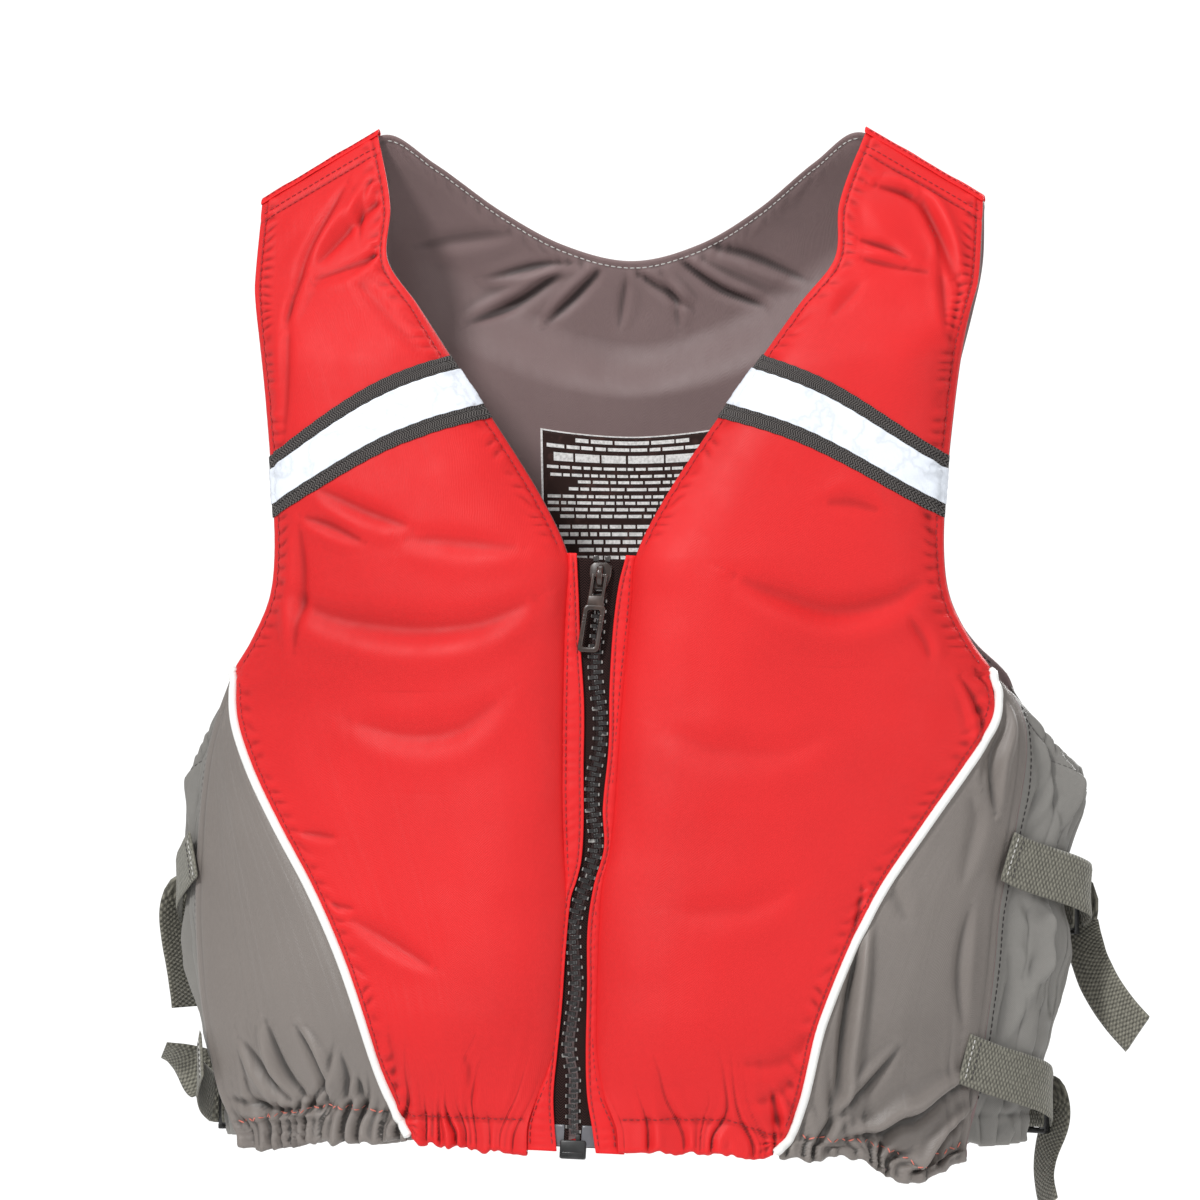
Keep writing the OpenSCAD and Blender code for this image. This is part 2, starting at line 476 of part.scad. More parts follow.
front_shell_left();
front_shell_right();
side_panel_left();
side_panel_right();
front_lining_left();
front_lining_right();
foam_front_left_outer();
foam_front_left_middle();
foam_front_left_inner();
foam_front_right_outer();
foam_front_right_middle();
foam_front_right_inner();
piping_left();
piping_right();
stripe_tape_left();
stripe_tape_right();
reflective_left();
reflective_right();
zip_facing_left();
zip_facing_right();
zipper_tape_left();
zipper_tape_right();
zipper_teeth_left();
zipper_teeth_right();
zipper_stops();  // zipper_top_stops
color(plast) zipper_slider();
color(plast) zipper_pull();
color(plast) zipper_box();
color(red) back_shell();
color(grey) back_side(1);  // back_side_left
color(grey) back_side(-1);  // back_side_right
color(liner) back_lining();
color(foamc) foam_back(0, 0.325);  // foam_back_outer
color(foamc) foam_back(0.335, 0.66);  // foam_back_middle
color(foamc) foam_back(0.67, 1);  // foam_back_inner
color(reflc) printed_label();
color(grey) gusset(1);  // gusset_left
color(grey) gusset(-1);  // gusset_right
hem_elastic_left();
hem_elastic_right();
hem_elastic_back();
color(red) shoulder_seam(1);  // shoulder_seam_left
color(red) shoulder_seam(-1);  // shoulder_seam_right
color(webc) strap_run(1, upper_z);  // strap_left_upper
color(webc) strap_run(1, lower_z);  // strap_left_lower
color(webc) strap_run(-1, upper_z);  // strap_right_upper
color(webc) strap_run(-1, lower_z);  // strap_right_lower
color(webc) anchor(1, upper_z);  // anchor_left_upper
color(webc) anchor(1, lower_z);  // anchor_left_lower
color(webc) anchor(-1, upper_z);  // anchor_right_upper
color(webc) anchor(-1, lower_z);  // anchor_right_lower
lock_left_upper();
lock_left_lower();
lock_right_upper();
lock_right_lower();
tail_left_upper();
tail_left_lower();
tail_right_upper();
tail_right_lower();
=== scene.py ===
"""Looks of a zip-front paddling life jacket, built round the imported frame. Lengths are in mm until a mesh is made."""

from functools import partial

import bmesh
import bpy
import numpy as np
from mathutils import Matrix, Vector
from numpy import arange, array, clip, concatenate, cos, cross, exp, linspace, maximum, pi, sin, sqrt, stack, where, zeros


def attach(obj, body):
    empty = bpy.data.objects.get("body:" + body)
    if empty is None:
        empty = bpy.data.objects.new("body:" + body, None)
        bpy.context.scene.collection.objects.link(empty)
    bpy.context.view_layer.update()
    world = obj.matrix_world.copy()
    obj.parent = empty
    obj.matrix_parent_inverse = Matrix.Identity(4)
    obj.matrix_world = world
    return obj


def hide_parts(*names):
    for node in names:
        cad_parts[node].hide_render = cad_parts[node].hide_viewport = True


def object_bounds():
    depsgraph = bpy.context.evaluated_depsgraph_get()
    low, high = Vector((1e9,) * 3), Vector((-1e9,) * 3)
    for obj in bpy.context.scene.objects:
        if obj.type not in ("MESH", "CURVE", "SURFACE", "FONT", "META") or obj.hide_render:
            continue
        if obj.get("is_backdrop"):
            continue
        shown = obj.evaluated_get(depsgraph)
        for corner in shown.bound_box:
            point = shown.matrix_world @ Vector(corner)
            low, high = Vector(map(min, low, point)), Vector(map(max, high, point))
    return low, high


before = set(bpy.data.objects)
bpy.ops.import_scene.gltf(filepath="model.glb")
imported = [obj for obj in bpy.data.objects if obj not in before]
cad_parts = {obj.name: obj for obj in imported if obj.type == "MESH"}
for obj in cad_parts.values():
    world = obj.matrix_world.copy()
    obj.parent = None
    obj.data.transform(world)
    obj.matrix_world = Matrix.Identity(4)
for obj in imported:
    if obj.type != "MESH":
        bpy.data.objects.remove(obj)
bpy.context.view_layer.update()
HANG = 478.0  # height of the hanger rest above the hem
DENS = 1.0  # share of the full mesh density

# ------------------------------------------------------------------ shape functions, as in the CAD source


def cr(t, p):
    """Smooth curve through (key, value) points."""
    p = array(p, float)
    k, v = p[:, 0], p[:, 1]
    m = np.empty(len(k))
    m[0] = (v[1] - v[0]) / (k[1] - k[0])
    m[-1] = (v[-1] - v[-2]) / (k[-1] - k[-2])
    m[1:-1] = (v[2:] - v[:-2]) / (k[2:] - k[:-2])
    t = clip(np.asarray(t, float), k[0], k[-1])
    i = clip(np.searchsorted(k, t, side="right") - 1, 0, len(k) - 2)
    h = k[i + 1] - k[i]
    s = (t - k[i]) / h
    return ((2 * s**3 - 3 * s**2 + 1) * v[i] + (s**3 - 2 * s**2 + s) * h * m[i]
            + (3 * s**2 - 2 * s**3) * v[i + 1] + (s**3 - s**2) * h * m[i + 1])


def ss(x, a, b):
    t = clip((np.asarray(x, float) - a) / (b - a), 0, 1)
    return t * t * (3 - 2 * t)


F_IN = [(0, 16), (270, 16), (290, 16.5), (317, 29), (350, 50), (385, 74.5), (411, 94), (434, 111), (460, 112), (500, 122)]
F_OUT = [(0, 178), (16, 180), (32, 187), (64, 194), (96, 197), (128, 198), (188, 197), (214, 194), (226, 191.5), (234, 189),
         (249, 179), (270, 169), (292, 166), (323, 167), (367, 171), (400, 175), (425, 178), (447, 180), (500, 180)]
F_PIPE = [(0, 90), (32, 104), (64, 114), (96, 126), (128, 141), (158, 158), (188, 174), (214, 185), (234, 189)]
Y_IN = [(290, 70), (350, 61), (385, 55), (411, 48), (434, 40), (460, 27), (480, 15), (500, 2.2)]
Y_OUT = [(0, 34), (32, 31), (214, 30), (234, 36), (249, 42), (270, 47), (292, 49), (323, 49), (367, 45), (400, 40),
         (425, 33), (447, 23), (475, 13), (500, 2.2)]
B_OUT = [(0, 180), (16, 182), (32, 188), (64, 194), (96, 197), (128, 198), (188, 197), (214, 194), (226, 191), (234, 187),
         (249, 171), (270, 157), (292, 152), (323, 152), (367, 158), (400, 163.5), (440, 171), (470, 177), (500, 180)]
B_TOP = [(-0.19, 446), (0, 438), (0.19, 446), (0.36, 463), (0.53, 486), (0.667, 500), (1, 466)]
ROLL = {1: [(0, -3), (25, -6), (58, -8.5), (90, -8), (120, -6.5), (162, 2), (205, 9), (222, 6), (236, 0), (500, 0)],
        -1: [(0, 9), (30, 10), (60, 11), (120, 11), (165, 9), (205, 5), (236, 0), (500, 0)]}
SWELL = {1: [(0, 22), (27, 24), (53, 24), (81, 25.5), (103, 28), (118, 26.5), (140, 26), (160, 29.5), (174, 31), (185, 29), (205, 22),
             (229, 16)],
         -1: [(0, 14), (30, 12.5), (54, 11.5), (73, 11.5), (100, 14.5), (124, 15), (152, 15.3), (183, 14.8), (205, 12), (229, 10)]}
B_Y = [(0, 0), (250, -13), (400, -28), (440, -37), (463, -48), (488, -65), (500, -72.8)]


def fxi(h): return cr(h, F_IN)
def fxo(h): return cr(h, F_OUT)
def fx(u, h): return fxi(h) + (fxo(h) - fxi(h)) * u
def fup(h): return where(np.asarray(h) >= 234, 1.0, np.minimum(1, (cr(h, F_PIPE) - fxi(h)) / (fxo(h) - fxi(h))))
def fz(u, h): return h - ss(h, 380, 500) * (fx(u, h) - 122) * 34 / 58
def fyi(h): return where(np.asarray(h) <= 290, 96 - 26 * np.asarray(h) / 290, cr(h, Y_IN))
def fym(u, h): return -(fyi(h) + (cr(h, Y_OUT) - fyi(h)) * clip(u, 0, 1.2) ** 1.8)
def pil(u): return maximum(0, 1 - np.abs(2 * clip(u, 0, 1) - 1) ** 4) ** 0.75
def rise(h): return sqrt(ss(h, 14, 70)) * (1 - 0.93 * ss(h, 385, 440))
def base(h): return 1 + 1.3 * (1 - ss(h, 16, 34))
def fyo(u, h): return fym(u, h) - base(h) - 16 * pil(u) * rise(h)
def fyn(u, h): return fym(u, h) + base(h) + 13 * pil(u) * rise(h)
def bx(u, h): return u * cr(h, B_OUT)
def bz(u, h): return h - ss(h, 300, 500) * (500 - cr(np.abs(u), B_TOP))
def bq(u, h): return bz(u, h) + maximum(0, np.abs(bx(u, h)) - 120) * 0.567 * ss(h, 380, 500)


def bym(u, h):
    return 75 + cr(bq(u, h), B_Y) - 33 * np.abs(bx(u, h) / 198) ** 3 * (1 - ss(h, 360, 490))


def brise(h): return sqrt(ss(h, 14, 70)) * (1 - 0.95 * ss(h, 400, 452))
def bpil(u): return maximum(0, 1 - np.abs(u) ** 5) ** 0.75
def byo(u, h): return bym(u, h) + base(h) + 14 * bpil(u) * brise(h)
def byn(u, h): return bym(u, h) - base(h) - 14 * bpil(u) * brise(h)
def bup(h): return where(np.asarray(h) >= 234, 1.0, cr(h, F_PIPE) / cr(h, B_OUT))


# ------------------------------------------------------------------ cloth detail: noise, folds, gathers


def vnoise(x, z, cell, seed):
    """Smooth value noise from -1 to 1."""
    g = np.random.RandomState(seed).uniform(-1, 1, (64, 64))
    a, b = np.asarray(x, float) / cell + 100, np.asarray(z, float) / cell + 100
    i, j = np.floor(a).astype(int), np.floor(b).astype(int)
    s, t = a - i, b - j
    s, t = s * s * s * (s * (6 * s - 15) + 10), t * t * t * (t * (6 * t - 15) + 10)
    i, j, k, m = i % 64, j % 64, (i + 1) % 64, (j + 1) % 64
    return (g[i, j] * (1 - s) + g[k, j] * s) * (1 - t) + (g[i, m] * (1 - s) + g[k, m] * s) * t


def crease(x, z, pts, depth, width, ridge=0.5, side=1):
    """A valley along a smooth line, with a softer ridge on one side, fading out at both ends."""
    pts = array(pts, float)
    key = np.r_[0, np.cumsum(np.hypot(*np.diff(pts, axis=0).T))]
    t = linspace(0, key[-1], 20)
    px, pz = cr(t, np.c_[key, pts[:, 0]]), cr(t, np.c_[key, pts[:, 1]])
    shape = np.shape(x)
    x, z = np.ravel(x), np.ravel(z)
    out = zeros(len(x))
    pad = width * 4
    near = (x > px.min() - pad) & (x < px.max() + pad) & (z > pz.min() - pad) & (z < pz.max() + pad)
    if not near.any():
        return out.reshape(shape)
    X, Z = x[near], z[near]
    best, sd, par = np.full(len(X), 1e9), zeros(len(X)), zeros(len(X))
    for i in range(len(px) - 1):
        dx, dz = px[i + 1] - px[i], pz[i + 1] - pz[i]
        L2 = dx * dx + dz * dz + 1e-9
        w = clip(((X - px[i]) * dx + (Z - pz[i]) * dz) / L2, 0, 1)
        ex, ez = X - px[i] - w * dx, Z - pz[i] - w * dz
        d = ex * ex + ez * ez
        hit = d < best
        best[hit] = d[hit]
        sd[hit] = (np.sign(dx * ez - dz * ex) * sqrt(d))[hit]
        par[hit] = ((i + w) / (len(px) - 1))[hit]
    taper = sin(pi * clip(par, 0.02, 0.98)) ** 0.7
    sd = sd * side
    w = width * (0.55 + 0.45 * taper)
    out[near] = depth * taper * (-exp(-((sd / w) ** 2)) + ridge * exp(-(((sd - 1.9 * w) / (1.3 * w)) ** 2)))
    return out.reshape(shape)


# folds of each front half: (points as distance from the zip and height, depth, width, ridge, side)
FOLDS = {
    -1: [
        ([(109, 478), (128, 458), (148, 434)], 2.6, 5.5, 0.8),
        ([(135, 476), (153, 440), (161, 404)], 2.4, 5, 0.7, -1), ([(122, 480), (127, 462), (126, 448)], 1.4, 3.4),
        ([(103, 453), (124, 437), (149, 427)], 2.6, 5, 0.7, -1), ([(112, 446), (128, 430), (150, 424)], 1.2, 4),
        ([(128, 430), (110, 412), (90, 392)], 1.8, 6.5, 0.3), ([(159, 420), (158, 385), (160, 345)], 1.6, 5),
        ([(142, 325), (118, 314), (93, 305)], 2.0, 5.5), ([(99, 301), (68, 298), (38, 295)], 1.6, 7, 0.4),
        ([(150, 311), (134, 306), (117, 298)], 1.4, 4),
        ([(161, 275), (134, 262), (92, 256), (57, 259), (31, 270)], 3.4, 9.5),
        ([(151, 306), (150, 280), (154, 244)], 1.8, 4.5, 0.6),
        ([(122, 210), (92, 204), (68, 207), (45, 222)], 2.2, 9, 0.35), ([(146, 156), (127, 153)], 0.9, 3.2, 0.4),
        ([(131, 121), (117, 118)], 0.7, 2.6, 0.4), ([(122, 115), (102, 104), (77, 90)], 1.6, 5.5, 0.4),
        ([(110, 372), (92, 352), (80, 330)], 0.9, 8, 0.3),
        ([(162, 62), (155, 39), (146, 24), (136, 14)], 2.9, 3.0, 0.9),
        ([(147, 60), (138, 39), (132, 13)], 2.9, 2.8, 0.9, -1),
        ([(175, 54), (162, 35), (149, 21), (136, 13)], 2.4, 2.8, 0.9),
        ([(184, 29), (159, 18.5), (134, 16)], 2.4, 2.8, 0.8), ([(117, 32), (114, 14)], 2.2, 2.4, 0.8),
        ([(125, 46), (123, 30), (124, 14)], 1.8, 2.8, 0.7), ([(100, 60), (98, 38), (99, 18)], 1.0, 3.6),
        ([(60, 48), (56, 32), (57, 17)], 0.9, 3.6)
    ],
    1: [
        ([(129, 474), (147, 468), (159, 451), (168, 427)], 3.2, 5.2, 0.8),
        ([(148, 475), (163, 448), (173, 420)], 2.4, 4.6, 0.6, -1),
        ([(122, 447), (136, 443), (148, 436)], 2.2, 4.4, 0.7, -1), ([(124, 437), (140, 434), (158, 430)], 1.3, 4),
        ([(111, 408), (118, 417), (126, 426)], 1.4, 6, 0.3), ([(172, 425), (172, 395), (173, 352)], 1.8, 4.6, 0.6),
        ([(160, 445), (164, 425), (168, 400)], 1.4, 4, 0.5, -1),
        ([(159, 281), (142, 270), (116, 265), (91, 272), (68, 281)], 3.0, 8.5),
        ([(110, 317), (124, 317), (138, 313)], 1.3, 5.5, 0.4), ([(157, 318), (164, 302), (171, 284)], 1.5, 4.5),
        ([(150, 262), (158, 250), (161, 240)], 1.0, 4), ([(176, 262), (181, 252), (184, 243)], 1.0, 2.6),
        ([(112, 205), (92, 196), (62, 197), (38, 206)], 1.4, 10, 0.3),
        ([(100, 130), (78, 120), (50, 118)], 1.2, 9, 0.3), ([(112, 60), (98, 48), (76, 44)], 1.2, 5, 0.4),
        ([(106, 45), (92, 33), (80, 28)], 1.0, 3.6, 0.4),
        ([(131, 128), (127, 84), (122, 48), (117, 27), (110, 12)], 3.4, 3.3, 1.0),
        ([(150, 53), (133, 37.5), (119, 25.5), (111, 14)], 2.2, 2.5, 0.9, -1),
        ([(142, 134), (148, 122), (153, 112)], 1.0, 5, 0.4),
        ([(185, 39), (166, 34), (152, 29.5), (138, 20.5), (124, 17)], 4.4, 3.2, 1.2, -1),
        ([(186, 26), (172, 22), (160, 13), (152, 2)], 4.2, 3.0, 1.1, -1),
        ([(180, 14), (170, 8), (163, 0)], 2.6, 3.0, 0.9), ([(104, 30), (101, 14)], 2.0, 2.4, 0.8),
        ([(90, 34), (93, 14)], 1.8, 2.6, 0.8), ([(181, 240), (187, 218), (184, 190), (188, 165)], 3.0, 2.8, 0.9),
        ([(174, 232), (180, 205), (181, 180)], 1.8, 3, 0.8, -1), ([(176, 175), (180, 160), (178, 130)], 1.2, 4),
        ([(184, 120), (180, 90), (182, 60)], 1.6, 3.5, 0.6)
    ],
}


def ruffle(x, z, seed, per=9.0):
    """Gathers of the hem elastic: soft puffs between sharp valleys, deep at the stitch line, some reaching far up."""
    x, z = np.asarray(x, float), np.asarray(z, float)
    w = vnoise(x, z * 0.5, 16, seed) * 0.9 + vnoise(x, z * 0.8, 33, seed + 1) * 0.9
    f = pi * (x / per + w)
    s = 2.1 * np.abs(sin(f)) ** 0.6 - 1.6 + 0.5 * sin(2.7 * f + 1.1)
    k = clip(0.85 + 0.8 * vnoise(x, 0, 21, seed + 2), 0.2, 1.5)
    reach = 3 + 17 * clip(0.42 + 0.9 * vnoise(x, 0, 11, seed + 3), 0.05, 1.2)
    low = 1.5 + 0.7 * (1 - ss(z, 0, 15))
    high = 1.5 * exp(-maximum(z - 16, 0) / reach)
    return s * k * where(z < 16, low, high)


def span(h): return fxo(h) - fxi(h)


def slant(f, h):
    """How much longer a step across the cloth is where its edge leans."""
    g = (cr(h + 1, f) - cr(h - 1, f)) / 2
    return sqrt(1 + g * g)


def edge_in(u, h):
    """Distance from the zip or neck edge, square to it."""
    return u * span(h) / slant(F_IN, h)


def edge_out(u, h): return (1 - u) * span(h) / slant(F_OUT, h)


def pipe_d(u, h):
    """Signed distance from the piping line, positive toward the zip."""
    return where(h > 236, 99.0, (fup(h) - u) * span(h) / slant(F_PIPE, h))


def dip(d, at, w): return exp(-(((d - at) / w) ** 2))


def folds(x, z, table, dk=1, wk=1):
    """The creases of a table: points, depth, width and, where crease's own don't do, ridge and side."""
    return sum(crease(x, z, pts, depth * dk, width * wk, *more) for pts, depth, width, *more in table)


def detail(s, u, h):
    """How far the front cover stands off its smooth shape."""
    x, z = fx(u, h), fz(u, h)
    di, do, dp, dt = edge_in(u, h), edge_out(u, h), pipe_d(u, h), 500 - h
    strap = ss(h, 400, 440) * 0.9 * vnoise(x * 1.3 + z * 0.7, z, 17, 31 + s)
    w = (0.75 * vnoise(x, z, 46, 11 + s) + 0.32 * vnoise(x, z, 19, 21 + s) + strap) * ss(h, 22, 45)
    w = w * ss(di, 3, 13) * ss(do, 2.6, 10) * ss(dt, 9, 18) * ss(np.abs(dp), 1.5, 9)
    high = [q for q in FOLDS[s] if q[0][0][1] > 400]
    f = folds(x, z, high, 1.1, 0.6) + folds(x, z, [q for q in FOLDS[s] if q not in high], 1.4, 0.8)
    w = w + f * ss(di, 1.5, 7) * ss(do, 1.0, 6) * ss(dt, 8, 14) * (0.25 + 0.75 * ss(np.abs(dp), 1, 6))

    def pucker(d, at, amount, per):
        return amount * sin(2 * pi * (h / per + 0.7 * vnoise(x, z, 15, 5))) * dip(d, at, 3.2)

    # rows of stitching press the cover down, and it puckers beside them
    e = -0.55 * dip(di, 2.7, 0.9) * ss(h, 286, 300) - 0.55 * dip(do, 2.6, 0.9)
    e = e + pucker(di, 5.5, 0.45, 7.3) * ss(h, 290, 305) + pucker(do, 5.5, 0.5, 6.7) * ss(h, 236, 250)
    e = e - dip(dp, 0, 2.4) + pucker(dp, 6.5, 0.42, 8.1) - 0.3 * dip(dp, 3.9, 0.7)
    e = e - 0.7 * dip(dt, 9.5, 1.1) + 0.3 * dip(dt, 5, 3) - 0.45 * dip(z, 16, 1.5) * ss(di, 1, 5)
    r = ruffle(x * s, z, 40) * (0.2 + 0.8 * ss(di, 4, 24)) * (0.45 + 0.55 * ss(np.abs(dp), 1, 6))
    return w + e + r * where(dp < 0, 1.3, 0.9)


def normal_of(f, u, h, flip):
    a, b = f(u + 0.003, h) - f(u - 0.003, h), f(u, h + 0.6) - f(u, h - 0.6)
    n = cross(a, b)
    n /= np.linalg.norm(n, axis=-1, keepdims=True) + 1e-12
    return -n if flip else n


# where the hem edge and the elastic's stitch line hang, by distance from the zip
HEM = {1: [(0, 1.2), (30, 2.4), (62, 2), (75, 0.3), (100, -1), (118, -1.5), (129, -2.5), (138, -9.5), (147, -13), (158, -11.5), (168, -6),
           (184, -3), (192, -1)],
       -1: [(0, 0), (20, 1), (54, 3.4), (78, 5.4), (102, 6), (112, 4.5), (125, 4.9), (144, 3.9), (154, 3.2), (169, 1), (179, 1), (190, 3)]}
ELASTIC = {1: [(0, 16), (68, 16), (78, 12.5), (88, 9), (100, 8), (118, 6), (130, 5), (141, 1.5), (150, -3), (158, -7), (168, -2), (184, 6),
               (192, 11)],
           -1: [(0, 16), (50, 16.5), (100, 18), (113, 20), (132, 20.3), (144, 18.6), (159, 16), (173, 12.7), (179, 10.8), (190, 8)]}


def hem_z(s, u, h):
    """The hem rides up and sags unevenly, and its edge is wavy."""
    x = fx(u, h)
    k = ss(h, 0, 16)
    edge = cr(x, HEM[s]) * (1 - k) + (cr(x, ELASTIC[s]) - 16) * k * (1 - ss(h, 16, 62))
    wave = 1.5 * vnoise(x, 0, 5.2, 300 + s) + 0.8 * vnoise(x, 0, 2.6, 303)
    return edge + (1 - ss(h, 0, 13)) * wave * ss(x, 26, 44)


# the inner edge of each front half strays from the zip line as the cloth slumps: height, offset from that line
EDGE = {-1: [(0, -21.5), (13, -21.6), (23, -19), (38, -13.2), (49, -10), (70, -8.6), (100, -8.2), (124, -8), (140, -10), (159, -12),
             (189, -13.9), (219, -15.2), (249, -16), (275, -16), (500, -16)],
        1: [(0, 24), (13, 22), (28, 15), (49, 10.5), (80, 8.8), (110, 8.2), (131, 8.6), (149, 11.5), (169, 12.7), (199, 13.2),
            (229, 14), (259, 15.5), (275, 16), (500, 16)]}


def lean(h): return -12 * (1 - np.minimum(h, 290) / 290)


def roll(s, h): return where(np.asarray(h) >= 236, 0.0, cr(h, ROLL[s]))


def fxs(s, u, h):
    v = maximum(0, 1 - u)
    return s * (fx(u, h) + roll(s, h) * clip(u, 0, 2) ** 3) + lean(h) * v**2.5 + (cr(h, EDGE[s]) - s * 16) * v**6


def front(s, u, h, offs=(0.0,)):
    """Points on the outside of a front half, one layer for each offset above the cover, and their normals."""
    u, h = np.broadcast_arrays(np.asarray(u, float), np.asarray(h, float))
    f = lambda a, b: stack([fxs(s, a, b), fyo(a, b), fz(a, b)], -1)
    p, n = f(u, h), normal_of(f, u, h, s < 0)
    p = p + n * detail(s, u, h)[..., None]
    p[..., 2] += hem_z(s, u, h)
    return [p + n * o for o in offs] + [n]


def front_in(s, u, h, offs=(0.0,)):
    """The same on the inside, toward the wearer."""
    u, h = np.broadcast_arrays(np.asarray(u, float), np.asarray(h, float))
    f = lambda a, b: stack([fxs(s, a, b), fyn(a, b), fz(a, b)], -1)
    p, n = f(u, h), normal_of(f, u, h, s > 0)
    x, z = fx(u, h), fz(u, h)
    q = ss(edge_in(u, h), 3, 12) * ss(edge_out(u, h), 3, 12)
    thin = ss(h, 375, 415)  # the strap is thin, so both its faces move together
    d = (0.9 * vnoise(x, z, 40, 61) + 0.4 * vnoise(x, z, 17, 62)) * q * ss(h, 20, 45) * (1 - thin) - detail(s, u, h) * thin
    p = p + n * d[..., None]
    p[..., 1] -= ruffle(x * s, z, 40) * 0.8 * ss(edge_in(u, h), 2, 16)
    p[..., 2] += hem_z(s, u, h)
    return [p + n * o for o in offs] + [n]


NECK = [
    ([(0, 434), (14, 424), (30, 414)], 1.8, 3.2, 0.7), ([(22, 440), (44, 424), (66, 416)], 2.6, 3.4, 0.8),
    ([(10, 436), (20, 420), (22, 404)], 1.3, 3.5, 0.6), ([(-14, 436), (-30, 420), (-44, 408)], 2.2, 3.6, 0.8, -1),
    ([(-26, 438), (-48, 436), (-74, 430)], 1.5, 3, 0.6), ([(-34, 434), (-58, 418), (-82, 408)], 2.4, 4, 0.7, -1),
    ([(34, 447), (60, 440), (88, 428)], 2.0, 4, 0.6, -1), ([(-60, 452), (-84, 450), (-108, 446)], 1.2, 5),
    ([(-3, 432), (-6, 418), (-8, 404)], 1.1, 3)]


BACK = [([(-120, 470), (-138, 452), (-150, 424)], 2, 5), ([(122, 468), (142, 452), (152, 426)], 2.2, 5),
        ([(-150, 250), (-90, 236), (-20, 246)], 2.0, 10), ([(150, 300), (96, 286), (40, 296)], 1.8, 10),
        ([(-120, 120), (-60, 108), (10, 118)], 1.6, 11), ([(120, 170), (70, 160), (20, 164)], 1.4, 9)]


def back(u, h, offs=(0.0,), inside=False):
    """Points on a face of the back panel, one layer for each offset above it, and their normals."""
    u, h = np.broadcast_arrays(np.asarray(u, float), np.asarray(h, float))
    y = byn if inside else byo
    f = lambda a, b: stack([bx(a, b), y(a, b), bz(a, b)], -1)
    p, n = f(u, h), normal_of(f, u, h, not inside)
    x, z, au = bx(u, h), bz(u, h), np.abs(u)
    side, top = (1 - au) * cr(h, B_OUT), (500 - h) * (cr(au, B_TOP) / 500)
    seed = 70 if inside else 80
    w = (0.9 * vnoise(x, z, 50, seed) + 0.4 * vnoise(x, z, 20, seed + 1)) * ss(side, 3, 13) * ss(top, 3, 13) * ss(h, 22, 45)
    pucker = sin(2 * pi * (x / 7.1 + 0.7 * vnoise(x, z, 15, 6))) * dip(top, 6, 3.4) * (1 - ss(au, 0.6, 0.7))
    e = -0.5 * dip(side, 2.7, 0.9) - 0.5 * dip(top, 2.9, 0.9) + 0.3 * pucker
    c = 1.35 * folds(x, z, NECK, 0.9, 0.75)
    if not inside:
        thin = ss(h, 385, 425)
        c, w = 1.4 * folds(x, z, BACK) * (1 - thin) - c * thin, w * (1 - thin)
        dp = where(h > 236, 99, (au - bup(h)) * cr(h, B_OUT))
        e = e - 0.7 * dip(dp, 0, 1.6) - 0.4 * dip(dp, -4, 0.9)
    c = c * ss(side, 1, 6) * ss(top, 0.5, 5)
    p = p + n * (w + e + c - dip(z, 16, 1.5))[..., None]
    p[..., 1] += ruffle(x, z, 44) * (0.8 if inside else 1.0) * ss(side, 1, 10)
    p[..., 2] += (1 - ss(h, 0, 13)) * 1.5 * vnoise(x, 0, 5.4, 310) + 6 * ss(np.abs(x), 158, 190) * (1 - ss(h, 6, 62))
    return [p + n * o for o in offs] + [n]


# ------------------------------------------------------------------ mesh builders


def arc(P):
    """Distance along a line of points."""
    return np.r_[0, np.cumsum(np.linalg.norm(np.diff(P, axis=0), axis=1))]


def unit(v):
    return v / (np.linalg.norm(v, axis=-1, keepdims=True) + 1e-12)


def piece(ob, slot, *nodes, body="vest"):
    """What the piece rides on and the CAD nodes it stands for, which are hidden; its material slot is not used."""
    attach(ob, body)
    if nodes:
        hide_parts(*nodes)
    return ob


def make(name, verts, faces, mat, uv=None, smooth=True):
    v = np.asarray(verts, float).reshape(-1, 3).copy()
    v[:, 2] -= HANG
    me = bpy.data.meshes.new(name)
    me.from_pydata((v * 0.001).tolist(), [], faces)
    me.update()
    if uv is not None:
        layer = me.uv_layers.new(name="weave")
        idx = zeros(len(me.loops), int)
        me.loops.foreach_get("vertex_index", idx)
        layer.data.foreach_set("uv", np.asarray(uv, float).reshape(-1, 2)[idx].ravel())
    me.materials.append(mat)
    me.polygons.foreach_set("use_smooth", [smooth] * len(me.polygons))
    me.update()
    ob = bpy.data.objects.new(name, me)
    bpy.context.scene.collection.objects.link(ob)
    return ob


def grid_faces(nr, nc, start=0, flip=False, wrap=False):
    i, j = np.meshgrid(arange(nr - 1), arange(nc if wrap else nc - 1), indexing="ij")
    i, j = i.ravel(), j.ravel()
    k = (j + 1) % nc
    f = stack([i * nc + j, i * nc + k, (i + 1) * nc + k, (i + 1) * nc + j], 1) + start
    return f[:, ::-1] if flip else f


